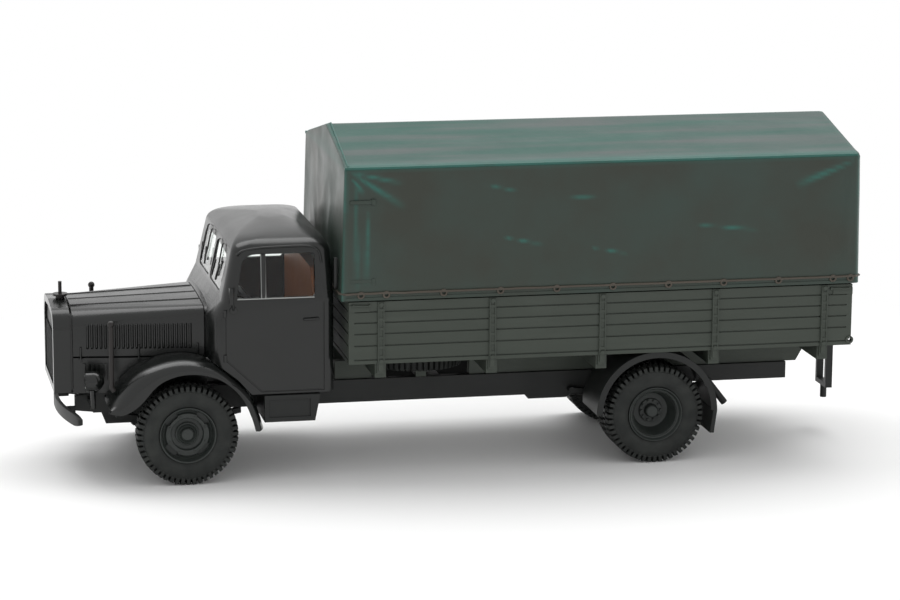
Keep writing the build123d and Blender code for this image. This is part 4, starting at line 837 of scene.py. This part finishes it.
def bumper():
    """Blade bent back evenly, its ends rounded, on two irons from the chassis."""
    half, bend, thick, half_height, middle_z = 10.2, 1.75, 0.5, 0.675, 7.025
    steps, full_share, end_loss = 16, 0.85, 0.55
    front_x = front_axle_x - 13.45
    shape = Shape()
    rings = []
    for k in range(-steps, steps + 1):
        share = k / steps
        x = front_x + bend * share * share
        beyond = max(0.0, abs(share) - full_share) / (1 - full_share)
        height = half_height * (1 - end_loss * beyond ** 2)
        rings.append([(x + back, half * share, middle_z + rise)
                      for back, rise in ((0, -height), (thick, -height), (thick, height), (0, height))])
    shape.skin(rings)
    for side in (LEFT, RIGHT):
        low_y, high_y = sorted((side * 3.9, side * 4.5))
        shape.box((front_x + 0.45, low_y, 6.65), (front_x + 1.95, high_y, 7.45))
    make_piece("bumper_bent", shape, "chassis_plastic", bevel=0.1, replaces=["bumper"])


bed_length = 57.7
bed_half = 13.4
post_shares = (0.062, 0.279, 0.496, 0.722, 0.943)
rung_low, rung_pitch, rung_count = 13.6, 1.05, 6
corner_bars = ((0.5, 2.3), (55.2, 57.3))


def bed_trims():
    """Rungs in the posts, hinge bolts and stake brackets along both sides of the bed."""
    shape = Shape()
    for share in post_shares:
        x = side_low.x + share * bed_length
        for edge in (x - 0.36, x + 0.22):
            shape.box((edge, -bed_half - 0.16, 13.05), (edge + 0.14, -bed_half, 19.85))
        for k in range(rung_count):
            z = rung_low + rung_pitch * k
            shape.box((x - 0.25, -bed_half - 0.12, z), (x + 0.25, -bed_half, z + 0.32))
        for z in (13.25, 19.62):
            shape.tube([(x, -bed_half, z), (x, -bed_half - 0.24, z)], 0.24, sides=12)
        shape.box((x - 0.42, -13.25, 11.8), (x + 0.42, -12.75, 12.96))
        shape.box((x - 0.25, -bed_half, 12.1), (x + 0.25, -bed_half + 0.2, 13.3))
    for ends in corner_bars:
        x0, x1 = [side_low.x + end for end in ends]
        shape.tube([(x0, -bed_half - 0.12, 19.55), (x1, -bed_half - 0.12, 19.5)], 0.11, sides=8)
        for x in (x0, x1):
            shape.tube([(x, -bed_half + 0.1, 19.53), (x, -bed_half - 0.18, 19.53)], 0.17, sides=8)
    shape.mirror()
    make_piece("bed_trims", shape, "bed_plastic")


# Tarp: a moulded hood, its edges rounded, with folds, a hem, a rope and straps

hood_low_z = 20.1
tarp_eave_z = 34.85
tarp_eave_half = 13.3
tarp_wall = 0.9
tarp_step = 0.36
tarp_touch = 0.02
front_edge_round = 0.28
rear_edge_round = 0.85
section_round = 0.3
front_lean = 0.52
rear_lean = 0.18
hem_top_z = 20.98
# Fold ridges on a side: start x, start z, end x, end z, height, half width at the end
side_folds = [
    (-14.0, 34.3, -7.6, 30.3, 0.20, 0.55),
    (-14.0, 34.3, -7.9, 33.0, 0.10, 0.35),
    (-13.9, 33.7, -12.5, 31.9, 0.12, 0.40),
    (-13.35, 32.4, -13.1, 21.0, 0.16, 0.34),
    (-12.0, 30.0, -12.1, 21.6, 0.10, 0.40),
    (-11.2, 21.3, -9.9, 25.4, -0.14, 0.35),
    (43.4, 34.0, 36.6, 31.4, 0.18, 0.60),
    (43.1, 33.6, 42.7, 21.2, -0.20, 0.50),
    (42.3, 22.2, 40.2, 26.6, -0.10, 0.45),
    (1.0, 32.6, 4.9, 31.8, 0.07, 0.22),
    (10.2, 31.0, 14.0, 30.8, 0.04, 0.20),
    (2.8, 26.8, 7.9, 25.7, 0.07, 0.22),
    (25.2, 27.4, 32.5, 26.6, 0.07, 0.24),
    (13.3, 25.2, 17.5, 24.4, 0.05, 0.20),
]


def hood_planes():
    """Outward directions and reaches of the walls and roof halves in the end view."""
    planes = []
    for side in (LEFT, RIGHT):
        wall = Vector((side * (tarp_eave_z - hood_low_z), (tarp_high.y - tarp_eave_half))).normalized()
        planes.append((wall, wall.dot(Vector((side * tarp_eave_half, tarp_eave_z)))))
        roof = Vector((side * (tarp_high.z - tarp_eave_z), tarp_eave_half)).normalized()
        planes.append((roof, roof.dot(Vector((0, tarp_high.z)))))
    return planes


section_planes = hood_planes()


def inset_point(y, z, inset):
    """Nearest point to (y, z) in the outline drawn in by an inset."""
    point = Vector((y, z))
    for _ in range(12):
        for normal, reach in section_planes:
            beyond = normal.dot(point) - (reach - inset)
            if beyond > 0:
                point -= normal * beyond
    return point


def rounded(x, y, z):
    """A point of the sharp-edged hood moved onto its rounded edges."""
    middle = (tarp_low.x + tarp_high.x) / 2
    reach = front_edge_round if x < middle else rear_edge_round
    inner_x = min(max(x, tarp_low.x + front_edge_round), tarp_high.x - rear_edge_round)
    inner = inset_point(y, z, section_round)
    off = Vector(((x - inner_x) / reach, (y - inner.x) / section_round, (z - inner.y) / section_round))
    if off.length < 1e-6:
        return Vector((x, y, z))
    off.normalize()
    return Vector((inner_x + reach * off.x, inner.x + section_round * off.y, inner.y + section_round * off.z))


def fold_height(x, z):
    """Height of the moulded folds at a place on a side, and how far it is rubbed."""
    height = rub = 0.0
    for x0, z0, x1, z1, rise, spread in side_folds:
        run = Vector((x1 - x0, z1 - z0))
        along = max(0.0, min(1.0, Vector((x - x0, z - z0)).dot(run) / run.length_squared))
        away = math.hypot(x - x0 - run.x * along, z - z0 - run.y * along)
        width = spread * (0.35 + 0.65 * along)
        fade = max(0.0, math.sin(math.pi * (min(1.0, 0.12 + 0.88 * along) if rise > 0 else along)))
        height += rise * (math.exp(-(away / width) ** 2) * fade ** 0.6)
        if rise > 0:
            rub = max(rub, math.exp(-(away / (0.7 * width)) ** 2) * fade)
    height += 0.12 * noise.noise(Vector((x * 0.13, z * 0.17, 3.1)))
    height += 0.03 * noise.noise(Vector((x * 0.5, z * 0.6, 7.7)))
    return height, rub


def lean(x, z):
    """The hood's ends lean inwards towards the top."""
    share = (z - hood_low_z) / (tarp_high.z - hood_low_z)
    if x < 0:
        return x + front_lean * share * max(0.0, 1 - (x - tarp_low.x) / 6)
    return x - rear_lean * share * max(0.0, 1 - (tarp_high.x - x) / 6)


def evenly(start, end, count):
    return [start + (end - start) * i / count for i in range(count + 1)]


def hood_point(x, y, z):
    """Where a place on the sharp-edged hood comes to lie, how far it is rubbed, and 1 on the roof."""
    place = rounded(x, y, z)
    end_gap = min(x - tarp_low.x, tarp_high.x - x)
    on_end = end_gap < tarp_touch
    rub = 0.0
    if not on_end and abs(y) > tarp_eave_half - tarp_touch and z < tarp_eave_z - tarp_touch:
        height, rub = fold_height(x, z)
        edge = min(1.0, (tarp_eave_z - z) / 0.9, (z - hem_top_z) / 0.5, (x - tarp_low.x) / 0.7,
                   (tarp_high.x - x) / 0.9)
        place.y += math.copysign(height * max(0.0, edge) - 0.16 * max(0.0, min(1.0, edge * 2)), y)
    elif on_end and z < tarp_eave_z:
        swell = 0.14 * noise.noise(Vector((y * 0.22, z * 0.2, 11.0 + x)))
        edge = min(1.0, (tarp_high.y - abs(y)) / 1.5, (tarp_eave_z - z) / 1.5, z - hem_top_z)
        place.x -= math.copysign(max(0.0, edge) * (abs(swell) + 0.05), x)
    elif z > tarp_eave_z + 0.05:
        swell = noise.noise(Vector((x * 0.08, y * 0.3, 21.0)))
        edge = min(1.0, (z - tarp_eave_z) / 0.4, (tarp_high.z - z) / 0.4, end_gap / 1.5)
        place.z -= 0.12 * max(0.0, edge) * (0.5 + 0.5 * swell)
    near_eave = math.exp(-((z - tarp_eave_z) / 0.28) ** 2)
    near_end = math.exp(-((tarp_high.y - abs(y) if on_end else end_gap) / 0.3) ** 2)
    rub = max(rub, (0.3 if on_end else 0.9) * near_eave, (0.8 if z > 30 else 0.45) * near_end)
    on_roof = 1.0 if z > tarp_eave_z + 0.12 and not on_end else 0.0
    return (lean(place.x, place.z), place.y, place.z), rub, on_roof


def tarp_sheet():
    """Points and faces of one sheet for walls, roof and ends."""
    z_count = round((tarp_eave_z - hood_low_z) / tarp_step)
    roof_count = round(tarp_eave_half / tarp_step)
    wall = list(zip(evenly(tarp_high.y, tarp_eave_half, z_count),
                    evenly(hood_low_z, tarp_eave_z, z_count)))
    roof = [(tarp_eave_half * (1 - i / roof_count), tarp_eave_z + (tarp_high.z - tarp_eave_z) * i / roof_count)
            for i in range(1, roof_count + 1)]
    half = wall + roof
    profile = half + [(-y, z) for y, z in reversed(half[:-1])]
    points, faces, index = [], [], {}

    def vertex(*place):
        key = tuple(round(number, 4) for number in place)
        if key not in index:
            index[key] = len(points)
            points.append(hood_point(*place))
        return index[key]

    columns = evenly(tarp_low.x, tarp_high.x, round((tarp_high.x - tarp_low.x) / tarp_step))
    for x0, x1 in zip(columns, columns[1:]):
        for (y0, z0), (y1, z1) in zip(profile, profile[1:]):
            faces.append([vertex(x0, y0, z0), vertex(x1, y0, z0), vertex(x1, y1, z1), vertex(x0, y1, z1)])
    across = [1 - k / roof_count for k in range(2 * roof_count + 1)]
    for x in (tarp_low.x, tarp_high.x):
        for (half_0, z0), (half_1, z1) in zip(wall, wall[1:]):
            for s0, s1 in zip(across, across[1:]):
                faces.append([vertex(x, s0 * half_0, z0), vertex(x, s1 * half_0, z0),
                              vertex(x, s1 * half_1, z1), vertex(x, s0 * half_1, z1)])
        for (y0, z0), (y1, z1) in zip([(tarp_eave_half, tarp_eave_z)] + roof, roof):
            for side in (LEFT, RIGHT):
                a, b = vertex(x, side * y0, tarp_eave_z), vertex(x, side * y1, tarp_eave_z)
                c, d = vertex(x, side * y1, z1), vertex(x, side * y0, z0)
                faces.append([a, b, c] if a == d else [a, b, c, d])
    return points, faces


def tarp():
    points, faces = tarp_sheet()
    verts, rubs, roofs = zip(*points)
    hood = Shape()
    hood.add(verts, faces)
    piece = raw_piece("tarp_hood", hood)
    store(piece, "rub", rubs)
    store(piece, "roof", roofs)
    thicken(piece, tarp_wall)
    finish_piece(piece, "tarp_plastic", crease=50, replaces=["tarp"])


eyelets = [-12.64] + [-9.8 + 6.39 * i for i in range(9)] + [43.37]
eyelet_radius, eyelet_z = 0.32, 20.76
rope_y, rope_z, rope_radius = 13.6, 20.93, 0.13
# Lower and upper edge of each strap on the side
straps = ((30.85, 31.25), (22.1, 22.5))
lip_rub = 0.85


def tarp_trims():
    """Rope with its eyelets, the hem below it, the straps and the raised lip along the eaves."""
    front_x, rear_x = tarp_low.x + 0.1, tarp_high.x - 0.1
    path = []
    for side, way, end in ((LEFT, 1, rear_x + 0.2), (RIGHT, -1, front_x - 0.2)):
        for x in evenly(front_x + 0.4, rear_x - 0.4, 90)[::way]:
            slack = 0.05 * noise.noise(Vector((x * 0.45, side, 5.0)))
            path.append((x, side * rope_y, rope_z + slack))
        path += [(end, y, rope_z) for y in evenly(-13.0, 13.0, 30)[::way]]
    fixings, bands, lip = Shape(), Shape(), Shape()
    fixings.tube(path, rope_radius, sides=8, closed=True)
    for x in eyelets:
        for side in (LEFT, RIGHT):
            ring = [about((x, eyelet_z), eyelet_radius, TURN * k / 16) for k in range(16)]
            fixings.tube([(x, side * rope_y, z) for x, z in ring], 0.12, sides=6, closed=True)
    make_piece("tarp_rope", fixings, "tarp_plastic", material=rope_paint)
    bands.box((front_x + 0.4, -13.52, hood_low_z), (rear_x - 0.7, -13.3, 20.5))
    for low, high in straps:
        bands.box((front_x + 0.9, -13.62, low), (-11.2, -13.1, high))
        bands.box((-11.45, -13.68, low - 0.12), (-11.0, -13.1, high + 0.12))
    bands.mirror()
    make_piece("tarp_bands", bands, "tarp_plastic", bevel=0.05, crease=30)
    lip.tube([(x, -13.26, 34.74) for x in evenly(front_x + 0.35, rear_x - 0.5, 40)], 0.17, sides=8)
    lip.tube([(front_x + 0.75 + 0.35 * k / 12, -13.2 * (1 - k / 12), 34.9 + 2.87 * k / 12)
              for k in range(13)], 0.1, sides=8)
    lip.mirror()
    piece = make_piece("tarp_lip", lip, "tarp_plastic")
    store(piece, "rub", [lip_rub] * len(piece.data.vertices))


# Camera, floor and light

# Distances from the middle of the model, in metres, between which the floor turns white for the camera
fade_start, fade_end = 0.045, 0.085
# Strength of the room where it lights the model
room_light = 0.82


def stage():
    """Pale floor that takes the model's shadow and turns white away from it."""
    floor = bpy.data.meshes.new("floor")
    reach = 3.0
    floor.from_pydata([(-reach, -reach, 0), (reach, -reach, 0), (reach, reach, 0), (-reach, reach, 0)],
                      [], [[0, 1, 2, 3]])
    nodes = Paint("floor_white")
    nodes.feed(nodes.shader, {
        "Base Color": nodes.mix(nodes.noise(60.0), (0.88, 0.88, 0.875, 1), (0.9, 0.9, 0.9, 1)),
        "Roughness": 0.6, "Specular IOR Level": 0.1})
    flat = nodes.add("ShaderNodeVectorMath", {0: nodes.place, 1: (0.75, 1.0, 1.0)}, operation="MULTIPLY")
    away = nodes.add("ShaderNodeVectorMath", {0: flat["Vector"]}, operation="LENGTH")
    fade = nodes.ramp(away["Value"], fade_start, fade_end)
    seen = nodes.add("ShaderNodeLightPath")["Is Camera Ray"]
    white = nodes.add("ShaderNodeEmission", {"Strength": 1.0})
    blend = nodes.add("ShaderNodeMixShader", {0: nodes.maths("MULTIPLY", fade, seen),
                                              1: nodes.shader.outputs["BSDF"], 2: white["Emission"]})
    nodes.feed(nodes.tree.nodes["Material Output"], {"Surface": blend["Shader"]})
    floor.materials.append(nodes.owner)
    new_object("floor", floor)


def world():
    """White room, a little dimmer where it only lights the model."""
    space = bpy.data.worlds.new("studio")
    bpy.context.scene.world = space
    nodes = Nodes(space)
    white = {"Color": (1, 1, 1, 1), "Strength": 1.0}
    room = nodes.tree.nodes["Background"]
    nodes.feed(room, {**white, "Strength": room_light})
    rays = nodes.add("ShaderNodeLightPath")
    seen = nodes.maths("ADD", rays["Is Camera Ray"], rays["Is Glossy Ray"])
    seen = nodes.maths("ADD", seen, rays["Is Transmission Ray"], use_clamp=True)
    bright = nodes.add("ShaderNodeBackground", white)
    mix = nodes.add("ShaderNodeMixShader", {0: seen, 1: room.outputs[0], 2: bright[0]})
    nodes.feed(nodes.tree.nodes["World Output"], {"Surface": mix[0]})


def overhead_light():
    lamp = bpy.data.lights.new("overhead", "AREA")
    lamp.shape = "RECTANGLE"
    lamp.size, lamp.size_y = 0.7, 0.3
    lamp.energy = 2.0
    holder = new_object("overhead", lamp)
    holder.location = (0.03, 0.16, 0.5)
    aim = Vector((0, 0, 0.02)) - holder.location
    holder.rotation_euler = aim.to_track_quat("-Z", "Y").to_euler()


# The camera was fitted to the photograph: place, bearing, downward tilt and roll
camera_place = Vector((-73.038, -348.723, 91.556))
camera_bearing = math.radians(11.852)
camera_tilt = math.radians(11.820)
camera_roll = math.radians(0.332)
camera_lens = 127.41


def camera():
    data = bpy.data.cameras.new("camera")
    data.sensor_width = 36
    data.lens = camera_lens
    data.clip_start = 0.01
    data.clip_end = 20
    view = new_object("camera", data)
    ahead = Vector((math.sin(camera_bearing) * math.cos(camera_tilt),
                    math.cos(camera_bearing) * math.cos(camera_tilt), -math.sin(camera_tilt)))
    level = Vector((math.cos(camera_bearing), -math.sin(camera_bearing), 0))
    above = level.cross(ahead)
    right = math.cos(camera_roll) * level + math.sin(camera_roll) * above
    up = -math.sin(camera_roll) * level + math.cos(camera_roll) * above
    turn = Matrix((right, up, -ahead)).transposed().to_4x4()
    view.matrix_world = Matrix.Translation(camera_place * MM) @ turn
    bpy.context.scene.camera = view


dress_cad_nodes()
wheels()
cab()
cab_trims()
panes()
mirrors()
fenders()
bonnet()
bonnet_trims()
bumper()
bed_trims()
tarp()
tarp_trims()
stage()
world()
overhead_light()
camera()
bpy.context.scene.view_settings.view_transform = "Standard"

bpy.context.view_layer.update()
